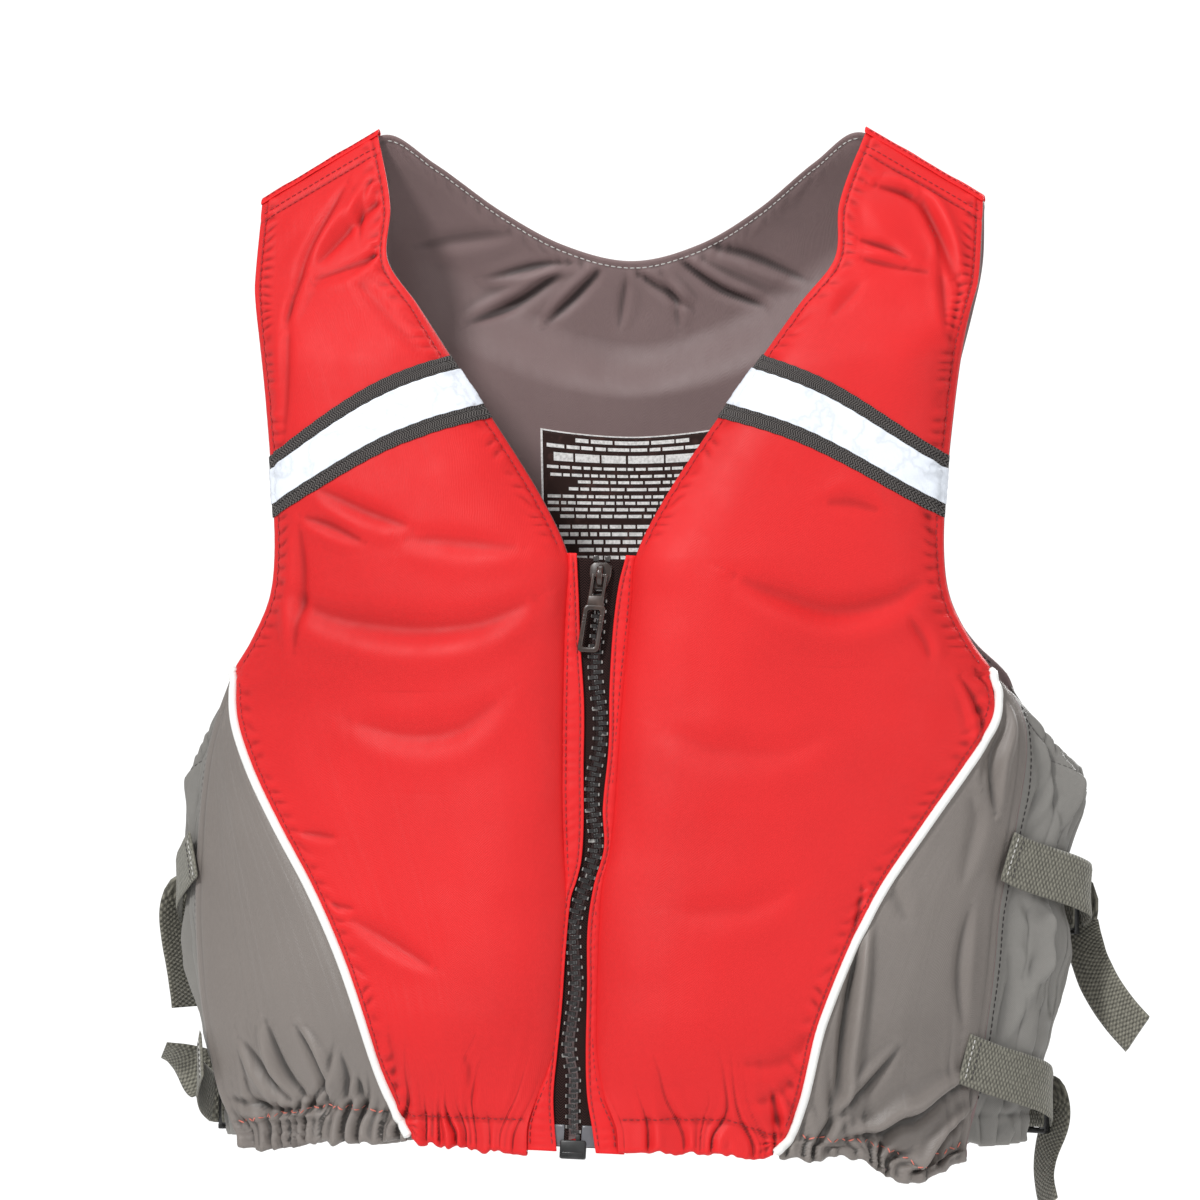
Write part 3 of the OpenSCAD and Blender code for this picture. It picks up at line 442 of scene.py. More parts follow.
def closed(A, B, flip=False, bulge=0.35):
    """Joins an outer and an inner grid of points into a closed cloth panel, its edges rounded over."""
    nr, nc = A.shape[:2]
    n1 = nr * nc
    ia = arange(n1).reshape(nr, nc)
    ra = concatenate([ia[0], ia[1:, -1], ia[-1, -2::-1], ia[-2:0:-1, 0]])
    pa, pb = A.reshape(-1, 3), B.reshape(-1, 3)
    a, b = pa[ra], pb[ra]
    th = b - a
    o = unit(cross(unit(np.roll(a, -1, 0) - np.roll(a, 1, 0)), th))
    if (o * (a - pa.mean(0))).sum(1).mean() < 0:
        o = -o
    mid = (a + b) / 2 + o * np.linalg.norm(th, axis=1, keepdims=True) * bulge
    r2 = 2 * n1 + arange(len(ra))
    ra2, r3 = np.roll(ra, -1), np.roll(r2, -1)
    f = concatenate([grid_faces(nr, nc), grid_faces(nr, nc, n1, True), stack([ra, r2, r3, ra2], 1), stack([r2, ra + n1, ra2 + n1, r3], 1)])
    return concatenate([pa, pb, mid]), (f[:, ::-1] if flip else f).tolist(), ra


def skin(name, A, B, mat, uv, flip=False):
    v, f, rim = closed(A, B, flip)
    q = uv.reshape(-1, 2)
    return make(name, v, f, mat, concatenate([q, q, q[rim]]))


def tube(name, P, r, mat, sides):
    T = unit(np.gradient(P, axis=0))
    n = unit(cross(T, [1.0, 0.02, 0]))
    b = cross(T, n)
    a = linspace(0, 2 * pi, sides, endpoint=False)
    R = P[:, None] + r[:, None, None] * (n[:, None] * cos(a)[None, :, None] + b[:, None] * sin(a)[None, :, None])
    m = len(P)
    verts = concatenate([R.reshape(-1, 3), P[:1] - T[:1] * 0.4, P[-1:] + T[-1:] * 0.4])
    f = grid_faces(m, sides, wrap=True).tolist()
    f += [[m * sides, (j + 1) % sides, j] for j in range(sides)]
    f += [[m * sides + 1, (m - 1) * sides + j, (m - 1) * sides + (j + 1) % sides] for j in range(sides)]
    uv = stack(np.broadcast_arrays(arc(P)[:, None], (a * float(np.max(r)))[None]), -1).reshape(-1, 2)
    return make(name, verts, f, mat, concatenate([uv, uv[:1], uv[-1:]]))


class Bag:
    """Gathers many small solids into one mesh."""

    def __init__(self):
        self.v, self.f, self.n = [], [], 0

    def add(self, v, f):
        self.v.append(v)
        self.f += [[i + self.n for i in q] for q in f]
        self.n += len(v)

    def put(self, place, solid):
        self.add(place(solid[0]), solid[1])

    def build(self, name, mat, slot, *nodes, body="vest", smooth=True):
        piece(make(name, concatenate(self.v), self.f, mat, smooth=smooth), slot, *nodes, body=body)


# one stitch: where its rings sit along it, how thick it is there, and how far it sinks into the cloth
ST_T = array([-0.5, -0.36, 0.0, 0.36, 0.5])
ST_R = array([0.25, 0.85, 1.0, 0.85, 0.25])
SINK = 0.05
ST_F = grid_faces(5, 6, wrap=True).tolist() + [[5, 4, 3, 2, 1, 0], [24, 25, 26, 27, 28, 29]]


def stitches(bag, P, Nn, length=2.5, gap=0.8, r=0.3, zig=0.0):
    """Raised thread stitches along a line of points with their surface normals."""
    P = np.asarray(P, float)
    Nn, L, ang = np.broadcast_to(Nn, P.shape), arc(P), arange(6) * pi / 3
    for k, t in enumerate(arange(gap, L[-1] - length, length + gap)):
        ts = t + (ST_T + 0.5) * length
        c, n = (stack([np.interp(ts, L, q[:, i]) for i in range(3)], 1) for q in (P, Nn))
        n = unit(n)
        w = cross(n, unit(c[-1] - c[0]))
        c = c + w * ((zig if k % 2 else -zig) * ST_T * 2)[:, None]
        c = c + n * ((1 - (ST_T * 2) ** 2) * r * 0.6 - SINK)[:, None]
        ring = c[:, None] + (ST_R * r)[:, None, None] * (w[:, None] * cos(ang)[None, :, None] * 1.15 + n[:, None] * sin(ang)[None, :, None])
        bag.add(ring.reshape(-1, 3), ST_F)


# ------------------------------------------------------------------ materials


class Mat:
    """A node material built in few words."""

    def __init__(self, name, rough=0.6, spec=0.4, sheen=0.0, coat=0.0, metal=0.0):
        self.m = bpy.data.materials.new(name)
        self.m.use_nodes = True
        self.t = self.m.node_tree
        self.b = self.t.nodes["Principled BSDF"]
        for k, v in (("Roughness", rough), ("Specular IOR Level", spec), ("Sheen Weight", sheen), ("Coat Weight", coat), ("Metallic", metal)):
            self.b.inputs[k].default_value = v
        self.b.inputs["Sheen Roughness"].default_value = 0.45
        self.b.inputs["Coat Roughness"].default_value = 0.3

    def n(self, kind, ins=None, **props):
        q = self.t.nodes.new("ShaderNode" + kind)
        for k, v in props.items():
            setattr(q, k, v)
        for k, v in (ins or {}).items():
            if isinstance(v, bpy.types.NodeSocket):
                self.t.links.new(v, q.inputs[k])
            else:
                q.inputs[k].default_value = v
        return q

    def pos(self):
        return self.n("TexCoord").outputs["Object"]

    def uv(self):
        q = self.n("SeparateXYZ", {0: self.n("UVMap", uv_map="weave").outputs[0]})
        return q.outputs[0], q.outputs[1]

    def math(self, op, a, b=0.0, c=0.0):
        return self.n("Math", {0: a, 1: b, 2: c}, operation=op).outputs[0]

    def noise(self, scale, detail=2.0, vec=None):
        return self.n("TexNoise", {"Vector": vec or self.pos(), "Scale": scale, "Detail": detail}).outputs[0]

    def wave(self, x, period, phase=0.0):
        return self.math("SINE", self.math("MULTIPLY_ADD", x, 2 * pi / period, phase))

    def mix(self, f, a, b):
        q = self.n("Mix", {"Factor": f}, data_type="RGBA")
        for i, v in ((6, a), (7, b)):
            if isinstance(v, bpy.types.NodeSocket):
                self.t.links.new(v, q.inputs[i])
            else:
                q.inputs[i].default_value = (*v, 1)
        return q.outputs[2]

    def spread(self, f, lo, hi, a=0.0, b=1.0):
        return self.n("MapRange", {"Value": f, "From Min": lo, "From Max": hi, "To Min": a, "To Max": b}).outputs[0]

    def color(self, sock):
        self.t.links.new(sock, self.b.inputs["Base Color"])

    def rough(self, sock):
        self.t.links.new(sock, self.b.inputs["Roughness"])

    def bump(self, pairs):
        """Stack of (height, distance in mm, strength)."""
        last = None
        for h, dist, st in pairs:
            ins = {"Height": h, "Distance": dist * 0.001, "Strength": st}
            if last is not None:
                ins["Normal"] = last
            last = self.n("Bump", ins).outputs[0]
        self.t.links.new(last, self.b.inputs["Normal"])


def shade(c, k):
    return tuple(min(1.0, v * k) for v in c)


def nylon(name, rgb, rough=0.5, spec=0.4, sheen=0.12, pitch=0.62, var=0.1, weave=0.5):
    """Coated pack cloth: fine plain weave, soft cloudy colour, small rubbed spots, painted shade in its creases and
    painted highlight on its ridges.
    """
    m = Mat(name, rough, spec, sheen)
    m.b.inputs["Sheen Tint"].default_value = (*[min(1, v + 0.25) for v in rgb], 1)
    u, v = m.uv()
    w = m.math("MULTIPLY", m.wave(u, pitch * 2), m.wave(v, pitch * 2))
    cloud = m.spread(m.noise(9, 3), 0.3, 0.7)
    fleck = m.spread(m.noise(420, 2), 0.35, 0.7)
    c = m.mix(cloud, shade(rgb, 1 - var), shade(rgb, 1 + var * 0.6))
    c = m.mix(m.math("MULTIPLY", fleck, 0.22), c, shade(rgb, 1 + var * 1.3))
    c = m.mix(m.spread(w, -1, 1, 0.0, 0.13), c, shade(rgb, 0.62))
    # painted shade: concave creases and folds darken almost to black; painted highlight: convex ridges lighten
    crease_shade_ridge_light = m.n("NewGeometry").outputs["Pointiness"]
    c = m.mix(m.spread(crease_shade_ridge_light, 0.498, 0.45, 0.0, 0.85), c, shade(rgb, 0.16))
    c = m.mix(m.spread(crease_shade_ridge_light, 0.503, 0.54, 0.0, 0.25), c, shade(rgb, 1.4))
    m.color(c)
    m.rough(m.spread(m.noise(60, 3), 0.3, 0.7, rough - 0.05, rough + 0.08))
    m.bump([(m.noise(260, 3), 0.22, 0.25), (w, 0.07, weave)])
    return m.m


def webbing_mat(name, rgb):
    """Woven webbing: staggered rows of bead-like cords, with painted shade in the low gaps between them and painted
    light on their raised tops.
    """
    m = Mat(name, 0.7, 0.3, 0.15)
    u, v = m.uv()
    bead = m.math("MULTIPLY", m.wave(u, 2.3), m.wave(v, 4.23))
    cord = m.math("ABSOLUTE", m.wave(v, 4.23))
    h = m.math("ADD", m.math("MULTIPLY", bead, 0.7), m.math("MULTIPLY", cord, 0.3))
    # painted shade and light: colour follows the weave's height, dark in the gaps and pale on the bead tops
    c = m.mix(m.spread(h, -0.5, 0.75), shade(rgb, 0.22), shade(rgb, 1.6))
    c = m.mix(m.math("MULTIPLY", m.spread(m.noise(500, 2), 0.45, 0.75), 0.35), c, shade(rgb, 2.2))
    m.color(c)
    m.bump([(m.noise(700, 2), 0.15, 0.3), (h, 0.4, 0.9)])
    return m.m


def plastic(name, rgb, rough=0.32, spec=0.5, rim=0.0):
    """Moulded plastic, scuffed; rim is how far its raised corners are painted pale, a painted highlight."""
    m = Mat(name, rough, spec)
    c = m.mix(m.spread(m.noise(160, 4), 0.52, 0.72), rgb, shade(rgb, 2.2))
    if rim:
        # painted highlight: raised convex corners lighten toward pale grey as glints
        c = m.mix(m.spread(m.n("NewGeometry").outputs["Pointiness"], 0.56, 0.68, 0.0, rim), c, (0.6, 0.59, 0.56))
    m.color(c)
    m.rough(m.spread(m.noise(90, 3), 0.3, 0.7, rough - 0.08, rough + 0.18))
    m.bump([(m.noise(900, 2), 0.05, 0.25)])
    return m.m


RED = nylon("red_nylon_cloth", (0.64, 0.0165, 0.018), spec=0.24, sheen=0.05)
RED_IN = nylon("red_nylon_trim", (0.66, 0.014, 0.016), spec=0.2, sheen=0.03, pitch=0.5)
GREY = nylon("grey_nylon_cloth", (0.186, 0.163, 0.148), rough=0.42, spec=0.45, sheen=0.3, var=0.12)
GUSS = nylon("grey_stretch_cloth", (0.2, 0.192, 0.178), rough=0.42, spec=0.45, sheen=0.25, pitch=0.5, var=0.14)
LINE = nylon("lining_cloth", (0.19, 0.129, 0.127), rough=0.48, spec=0.4, sheen=0.2, pitch=0.5, var=0.12)
WEB = webbing_mat("webbing_woven", (0.158, 0.152, 0.124))
BLACK = plastic("moulded_black", (0.014, 0.014, 0.014))
# the teeth carry a painted highlight on their raised corners
TOOTH = plastic("zip_moulded", (0.01, 0.008, 0.008), 0.16, 0.7, 0.5)
METAL = plastic("slider_enamel", (0.03, 0.018, 0.014), 0.22, 0.7)


def thread(name, rgb):
    m = Mat(name, 0.55, 0.35, 0.2)
    m.color(m.mix(m.noise(1500, 2), shade(rgb, 0.75), shade(rgb, 1.2)))
    m.bump([(m.wave(m.math("ADD", *[m.n("SeparateXYZ", {0: m.pos()}).outputs[i] for i in (0, 2)]), 0.0005), 0.05, 0.4)])
    return m.m


T_RED = thread("thread_red", (0.34, 0.008, 0.012))
T_DARK = thread("thread_dark", (0.05, 0.045, 0.045))
T_WHITE = thread("thread_pale", (0.55, 0.54, 0.52))
T_ZIG = thread("thread_hem", (0.72, 0.2, 0.15))


def reflect_mat(name, rgb, crinkle):
    """Retro-reflective tape: pale glass-bead film with fine crinkles and a faint diamond grid."""
    m = Mat(name, 0.36, 0.5, 0.0, 0.15)
    u, v = m.uv()
    lines = m.math("PINGPONG", m.noise(55, 4), 0.5)
    cr_ = m.spread(lines, 0.46, 0.5)
    g = m.math("MULTIPLY", m.wave(m.math("ADD", u, v), 1.5), m.wave(m.math("SUBTRACT", u, v), 1.5))
    c = m.mix(m.spread(m.noise(24, 3), 0.35, 0.65), shade(rgb, 0.93), rgb)
    c = m.mix(m.math("MULTIPLY", cr_, 0.4 * crinkle), c, shade(rgb, 0.62))
    c = m.mix(m.spread(g, -1, 1, 0.05, 0), c, shade(rgb, 0.7))
    m.color(c)
    m.bump([(lines, 0.8, 0.35 * crinkle), (g, 0.04, 0.4)])
    return m.m


REFL = reflect_mat("reflective_film", (0.80, 0.85, 0.93), 1.0)
PIPE = reflect_mat("piping_film", (0.87, 0.87, 0.85), 0.3)


def tape_mat(name, a, b, per, slant):
    """Narrow woven tape with a herringbone."""
    m = Mat(name, 0.8, 0.08, 0.05)
    u, v = m.uv()
    tri = m.math("PINGPONG", v, slant)
    w = m.wave(m.math("MULTIPLY_ADD", tri, 1.0, u), per)
    m.color(m.mix(m.spread(w, -0.8, 0.8), a, b))
    m.bump([(m.noise(600, 2), 0.1, 0.3), (w, 0.2, 0.8)])
    return m.m


STAPE = tape_mat("stripe_tape_woven", (0.014, 0.012, 0.012), (0.13, 0.12, 0.115), 1.5, 1.6)
ZTAPE = tape_mat("zip_tape_woven", (0.006, 0.003, 0.003), (0.04, 0.02, 0.018), 1.3, 2.0)
PRINT = Mat("label_ink", 0.5, 0.35)
PRINT.color(PRINT.mix(PRINT.spread(PRINT.noise(700, 3), 0.3, 0.6), (0.62, 0.61, 0.6), (0.92, 0.91, 0.9)))
PRINT.bump([(PRINT.noise(500, 3), 0.08, 0.3)])
PRINT = PRINT.m
INK = plastic("label_ground_ink", (0.03, 0.014, 0.012), 0.6, 0.2)
FILM = Mat("zip_end_film", 0.25, 0.55)
FILM.color(FILM.mix(FILM.noise(150, 2), (0.09, 0.09, 0.1), (0.17, 0.17, 0.185)))
FILM.bump([(FILM.noise(300, 2), 0.1, 0.3)])
FILM = FILM.m

# ------------------------------------------------------------------ front halves

CLOTH = (0.0, -0.8)  # the two faces of a cover, from its outer one
NC, NR = int(146 * DENS), int(430 * DENS)
SIDES = ((1, "left"), (-1, "right"))
STEP = 1.1  # between the points that a seam follows
THREADS = {k: Bag() for k in ("red", "dark", "pale", "hem")}
ZIGZAG = dict(length=2.9, gap=1.6, zig=0.9, r=0.4)


def row(a, b, n): return linspace(a, b, int(n * DENS))[None]
def col(a, b, n): return linspace(a, b, int(n * DENS))[:, None]


def uv_of(P):
    """Distances along the cloth from its first row and column."""
    U, V = (np.cumsum(np.linalg.norm(np.diff(P, axis=k), axis=2), k) for k in (1, 0))
    U, V = concatenate([zeros((len(P), 1)), U], 1), concatenate([zeros((1, P.shape[1])), V])
    return stack([U + P[:, :1, 0], V], -1)


def cover(name, outer, inner, u, h, mat, flip):
    """A padded cover whose lower edge wraps round under the hem to the lining."""
    A, B, _ = outer(u, h, CLOTH)
    C = inner(u[0], h[0])[0]
    mid, half = (A[0] + C) / 2, (A[0] - C) / 2
    drop = np.linalg.norm(half, axis=-1, keepdims=True) * array([0, 0, -1.0])
    A, B = (concatenate([array([mid + half * cos(t) * k + drop * sin(t) * k for t in pi * arange(6, 0, -1) / 6.5]), G])
            for k, G in ((1, A), (0.62, B)))
    return skin(name, A, B, mat, uv_of(A), flip)


def seam(kind, s, u, h, off=0.1, **kw):
    """A row of stitches along a line on a front half."""
    stitches(THREADS[kind], *front(s, u, h, (off,)), **kw)


def back_seam(kind, inside, u, h, **kw):
    stitches(THREADS[kind], *back(u, h, (0.1,), inside), **kw)


def from_edge(dist, h, f):
    """Column at a set distance from the edge F_IN or F_OUT, square to it."""
    d = dist * slant(f, h) / span(h)
    return d if f is F_IN else 1 - d


for s, side in SIDES:
    outer, inner = partial(front, s), partial(front_in, s)
    h = concatenate([linspace(0, 232.5, NR // 2), linspace(234.5, 500, NR - NR // 2)])[:, None]
    c = linspace(0, 1, NC)[None]
    c = c * 0.9 + 0.1 * (0.5 - 0.5 * cos(pi * c))
    u = c * (where(h < 234, fup(h), 1.0) - where(h < 234, 1.6, 0.0) / span(h))
    foam = ["foam_front_%s_%s" % (side, k) for k in ("outer", "middle", "inner")]
    ob = cover("front_cover_" + side, outer, inner, u, h, RED, s < 0)
    piece(ob, "red_nylon", "front_shell_" + side, *foam, "hem_elastic_" + side)
    h = col(0, 233.5, 205)
    a = np.minimum(fup(h) + 1.6 / span(h), 0.995)
    ob = cover("side_cover_" + side, outer, inner, a + row(0, 1, 78) * (1 - a), h, GREY, s < 0)
    piece(ob, "grey_nylon", "side_panel_" + side)
    A, B, _ = front_in(s, row(0, 1, 80), col(0, 500, 230), CLOTH)
    ob = skin("front_lining_cloth_" + side, A, B, LINE, uv_of(A), s > 0)
    piece(ob, "lining", "front_lining_" + side)
    hp = linspace(0.5, 236, int(240 * DENS))
    P = front(s, fup(np.minimum(hp, 233.9)), hp, (0.75,))[0]
    r = 2.25 * clip((237.5 - hp) / 4, 0.35, 1) ** 0.5
    piece(tube("piping_roll_" + side, P, r, PIPE, 16), "reflective", "piping_" + side)
    # stitching: neck and armhole edges, seam beside the piping, hem, shoulder
    hn, ha, hh = arange(296, 491, STEP), arange(238, 491, STEP), arange(20, 231, STEP)
    seam("red", s, from_edge(2.7, hn, F_IN), hn)
    seam("red", s, from_edge(2.6, ha, F_OUT), ha)
    seam("red", s, fup(hh) - 4.2 * slant(F_PIPE, hh) / span(hh), hh)
    uu, join = linspace(0.02, 0.99, 260), fup(16.0)
    seam("red", s, uu[uu < join - 0.02], 16.0, length=2.2, gap=1.0)
    seam("hem", s, uu[uu > join + 0.02], 16.0, **ZIGZAG)
    for top in (490.5, 494.0):
        seam("red", s, linspace(0.02, 0.98, 90), top)

# ------------------------------------------------------------------ chest stripes


def str_h(u): return 374 - 49 * u + 8 * sin(pi * u)


STRIPES = (("stripe_band_", 30, 0.1, 0.75, STAPE, "stripe_tape_", "stripe_tape"),
           ("stripe_film_", 17, 0.75, 1.15, REFL, "reflective_", "reflective"))
for s, side in SIDES:
    for name, wide, lo, hi, mat, node, slot in STRIPES:
        r, u = col(-0.5, 0.5, 34), row(0.001, 0.999, 190)
        x, r = np.broadcast_arrays(u * 130, r)
        edge = 0.18 * sin(2 * pi * x / 9.3 + s) * r  # tape edges wander a little
        A, B, n = front(s, u, str_h(u) + r * wide + edge, (hi, lo))
        if mat is REFL:
            crinkle = 0.16 * vnoise(x, r * 30, 6, 91 + s) + 0.12 * vnoise(x * 1.3 + r * 30, r * 22, 3.1, 92)
            A = A + n * crinkle[..., None]
        piece(skin(name + side, A, B, mat, stack([x, r * wide], -1), s < 0), slot, node + side)
    u = linspace(0.01, 0.99, 240)
    for d in (-13.4, -9.9, 9.9, 13.4):
        seam("dark", s, u, str_h(u) + d, off=0.85 if abs(d) > 10 else 1.0, length=2.1, gap=0.9, r=0.28)

# ------------------------------------------------------------------ small moulded parts


def prism(pts, z0, z1, r=0.3, seg=2):
    """Outline pushed from z0 to z1 with its edges rounded. Returns points and faces."""
    bm = bmesh.new()
    lo = [bm.verts.new((x, y, z0)) for x, y in pts]
    hi = [bm.verts.new((x, y, z1)) for x, y in pts]
    n = len(pts)
    bm.faces.new(lo[::-1])
    bm.faces.new(hi)
    for i in range(n):
        bm.faces.new((lo[i], lo[(i + 1) % n], hi[(i + 1) % n], hi[i]))
    bm.normal_update()
    sharp = [e for e in bm.edges if e.calc_face_angle(0) > 0.4]
    if r > 0:
        bmesh.ops.bevel(bm, geom=sharp, offset=r, segments=seg, profile=0.5, affect="EDGES", clamp_overlap=True)
    bmesh.ops.recalc_face_normals(bm, faces=bm.faces)
    v = array([q.co[:] for q in bm.verts])
    bm.verts.index_update()
    f = [[q.index for q in g.verts] for g in bm.faces]
    bm.free()
    return v, f


def rbox(xa, xb, y0, y1, z0, z1, r=0.35, seg=2):
    x0, x1 = sorted((xa, xb))
    return prism([(x0, y0), (x1, y0), (x1, y1), (x0, y1)], z0, z1, r, seg)


def rod(r, n): return [(r * cos(q), r * sin(q)) for q in linspace(0, 2 * pi, n, endpoint=False)]


def roundrect(hx, hy, r, n=7):
    out = []
    for k, (cx, cy) in enumerate(((hx - r, hy - r), (-hx + r, hy - r), (-hx + r, -hy + r), (hx - r, -hy + r))):
        t = linspace(0, pi / 2, n) + k * pi / 2
        out += list(zip(cx + r * cos(t), cy + r * sin(t)))
    return array(out)


def frame_between(outer, inner, z0, z1, r=0.4):
    """Frame between two outlines with the same number of points, its section rounded."""
    w = unit(inner - outer)
    rows = []
    for sx, sz in ((0, 1), (0, -1), (1, -1), (1, 1)):
        for a in (0, pi / 4, pi / 2):
            e, g = r * (1 - sin(a)), r * (1 - cos(a))
            if (sx, sz) in ((0, -1), (1, 1)):
                e, g = g, e
            p = inner - w * e if sx else outer + w * e
            rows.append(np.c_[p, np.full(len(p), (z0 + z1) / 2 + sz * ((z1 - z0) / 2 - g))])
    m, n = len(rows), len(outer)
    f = [[i * n + j, i * n + (j + 1) % n, ((i + 1) % m) * n + (j + 1) % n, ((i + 1) % m) * n + j] for i in range(m) for j in range(n)]
    return concatenate(rows), f


def resample(P, N_, n):
    P, N_ = np.asarray(P, float), np.asarray(N_, float)
    L = arc(P)
    t = linspace(0, L[-1], n)
    Q, M = (stack([cr(t, np.c_[L, G[:, i]]) for i in range(3)], 1) for G in (P, N_))
    T = unit(np.gradient(Q, axis=0))
    return Q, unit(M - T * (M * T).sum(1, keepdims=True)), T, t


def ribbon(P, N_, w, t, n=80, cols=11, cup=0.0, fold=0.0, seed=3):
    """Flat webbing along a path: rounded edges, slight cupping, and a hemmed end where fold is set."""
    Q, M, T, L = resample(P, N_, n)
    W = cross(T, M)
    a = linspace(-1, 1, cols)
    k = 1 - t / w * 1.3
    th = t / 2 * sqrt(clip(1 - clip((np.abs(a) - k) / (1 - k), 0, 1) ** 2, 0.02, 1))
    wob = 0.12 * vnoise(L, L * 0, 9, seed)
    thick = 1 + (1.0 * (L > L[-1] - fold) if fold else 0 * L)
    wide = 1 + 0.006 * vnoise(L, L * 0 + 9, 7, seed + 1)
    rows = []
    for i in range(n):
        mid = Q[i] + W[i] * (a * w / 2 * wide[i])[:, None] + M[i] * (cup * (a**2 - 0.4) + wob[i] * a)[:, None]
        rows += [mid + M[i] * (th * thick[i])[:, None], (mid - M[i] * th[:, None])[::-1]]
    m = 2 * cols
    f = grid_faces(n, m, wrap=True).tolist() + [list(range(m))[::-1], [(n - 1) * m + j for j in range(m)]]
    uv = stack([np.repeat(L[:, None], m, 1), np.tile(np.r_[a, a[::-1]] * w / 2 + w / 2, (n, 1))], -1)
    return concatenate(rows), f, uv, (Q, M, W, L)


# ------------------------------------------------------------------ zip

ZB = np.arctan(12 / 290)
ZA = np.arctan(26 / 290 * cos(ZB))
SZ = 282.5  # height of the slider
YAW = np.radians(-6)  # of the pull on its pin


def zp(x, y, z):
    """From the zip's own frame to the vest's: x across the zip, y into the vest, z up."""
    x, y, z = np.broadcast_arrays(x, y, z)
    y1, z1 = y * cos(ZA) + z * sin(ZA), -y * sin(ZA) + z * cos(ZA)
    return stack([x * cos(ZB) + z1 * sin(ZB) - 12, y1 - 96, -x * sin(ZB) + z1 * cos(ZB)], -1)


def zv(v): return zp(*np.asarray(v, float).T)
def on_slider(v): return zv(v + [0, 0, SZ])


def on_pull(v):
    """The pull hangs a little to one side of its pin."""
    x, y, z = np.asarray(v, float).T
    return zp(x * cos(YAW) - z * sin(YAW) * clip(-z / 6, 0, 1), y - 4.9, z + SZ)


CHAIN = [(0, 1.2), (10, 1.0), (22, 0.2), (32, -0.2), (38, -0.5), (50, -3.2), (64, -2.6), (80, -1.4), (92, -2.6), (110, -4.2),
         (124, -1.6), (131, 0.4), (141, 3), (149, 4.6), (159, 3.8), (171, 1.6), (184, 1.4), (199, 3.8), (214, 3.4), (228, 0.8),
         (240, -0.6), (256, -0.2), (272, 0), (293, 0)]
FACE = {-1: [(0, -6.6), (13, -8.5), (28, -9.8), (49, -9), (70, -8.0), (100, -7.5), (124, -6.4), (133, -4), (143, -2.2), (159, -2),
             (189, -3.6), (219, -5), (249, -8.4), (269, -10.2), (292, -12.5)],
        1: [(0, 13), (13, 10.4), (28, 7.2), (49, 5.4), (80, 4.4), (110, 3), (131, 5), (149, 8.9), (169, 7.4), (199, 8.6), (229, 7.5),
            (259, 7.8), (279, 9.4), (292, 12)]}
TEETH, PITCH = 53, 5
half = [(3.8, -1.25), (3.3, -1.6), (0.6, -1.6), (-0.1, -1.2), (-0.75, -1.3), (-1.3, -0.9)]
tv, tf = prism(half + [(x, -y) for x, y in half[::-1]], 0, 2.1, 0.32)
tv[:, 2] = 1.05 + (tv[:, 2] - 1.05) * where(tv[:, 0] < 0.2, 1.0, 0.86)

for s, side in SIDES:
    # red facing beside the teeth
    z, t = col(0.5, 293, 250), linspace(0, 1, 15)[None]
    inn, out = cr(z, FACE[s]), cr(z, EDGE[s]) + s * 2.6
    out = where(s * (out - inn) < 2.5, inn + s * 2.5, out)
    x = inn * (1 - t) + out * t
    z = z + 0 * t
    pucker = sin(2 * pi * (z / 5.6 + vnoise(x, z, 13, 8))) * exp(-((t - 0.5) / 0.3) ** 2)
    y = -2.25 + 1.75 * ss(t, 0.45, 1.0) + 0.16 * vnoise(x, z, 11, 120 + s) - 0.14 * pucker
    y = y + 0.3 * exp(-((np.abs(x - inn) - 1.7) / 0.55) ** 2)
    ob = skin("zip_facing_strip_" + side, zp(x, y, z), zp(x, y + 0.65 - 0.2 * t, z), RED_IN, stack([x, z], -1), s < 0)
    piece(ob, "red_nylon", "zip_facing_" + side)
    zs = arange(3, 291, STEP)
    face = cr(zs, FACE[s])
    for xs, y, least in ((face + s * 1.7, -2.18, 0), (cr(zs, EDGE[s]) - s * 1.6, -1.95, 3.0)):
        keep = s * (xs - face) > least
        for q in np.split(arange(len(zs)), where(np.diff(keep.astype(int)) != 0)[0] + 1):
            if keep[q[0]] and len(q) > 6:
                stitches(THREADS["red"], zp(xs[q], y, zs[q]), (0, -1.0, 0.09), 2.4, 0.9)
    # woven tape between the facing and the teeth
    z, t = col(3, 291, 220), linspace(0, 1, 9)[None]
    x0, x1 = cr(z, CHAIN) + s * 2.5, s * maximum(s * cr(z, FACE[s]) + 3.5, 15.3)
    x = x0 * (1 - t) + x1 * t
    z = z + 0 * t
    y = -0.4 + 0.2 * ss(t, 0, 0.3) - 0.25 * exp(-(((x - x0) / 1.1) ** 2)) + 0.1 * vnoise(x, z, 12, 130)
    ob = skin("zip_tape_" + side, zp(x, y, z), zp(x, y + 0.6, z), ZTAPE, stack([z, x], -1), s < 0)
    piece(ob, "zip_tape", "zipper_tape_" + side)
    # moulded teeth
    bag = Bag()
    for i in range(TEETH):
        z0 = 9.2 + (0 if s > 0 else PITCH / 2) + PITCH * i
        x, y, z = (tv * [s, 1, 1]).T
        lean_ = (cr(z0 + 3, CHAIN) - cr(z0 - 1, CHAIN)) / 4
        bag.add(zp(x + cr(z0 + 1, CHAIN) + (z - 1) * lean_, y, z0 + z - x * lean_), tf if s > 0 else [g[::-1] for g in tf])
    bag.build("zip_teeth_" + side, TOOTH, "black_plastic", "zipper_teeth_" + side, smooth=False)

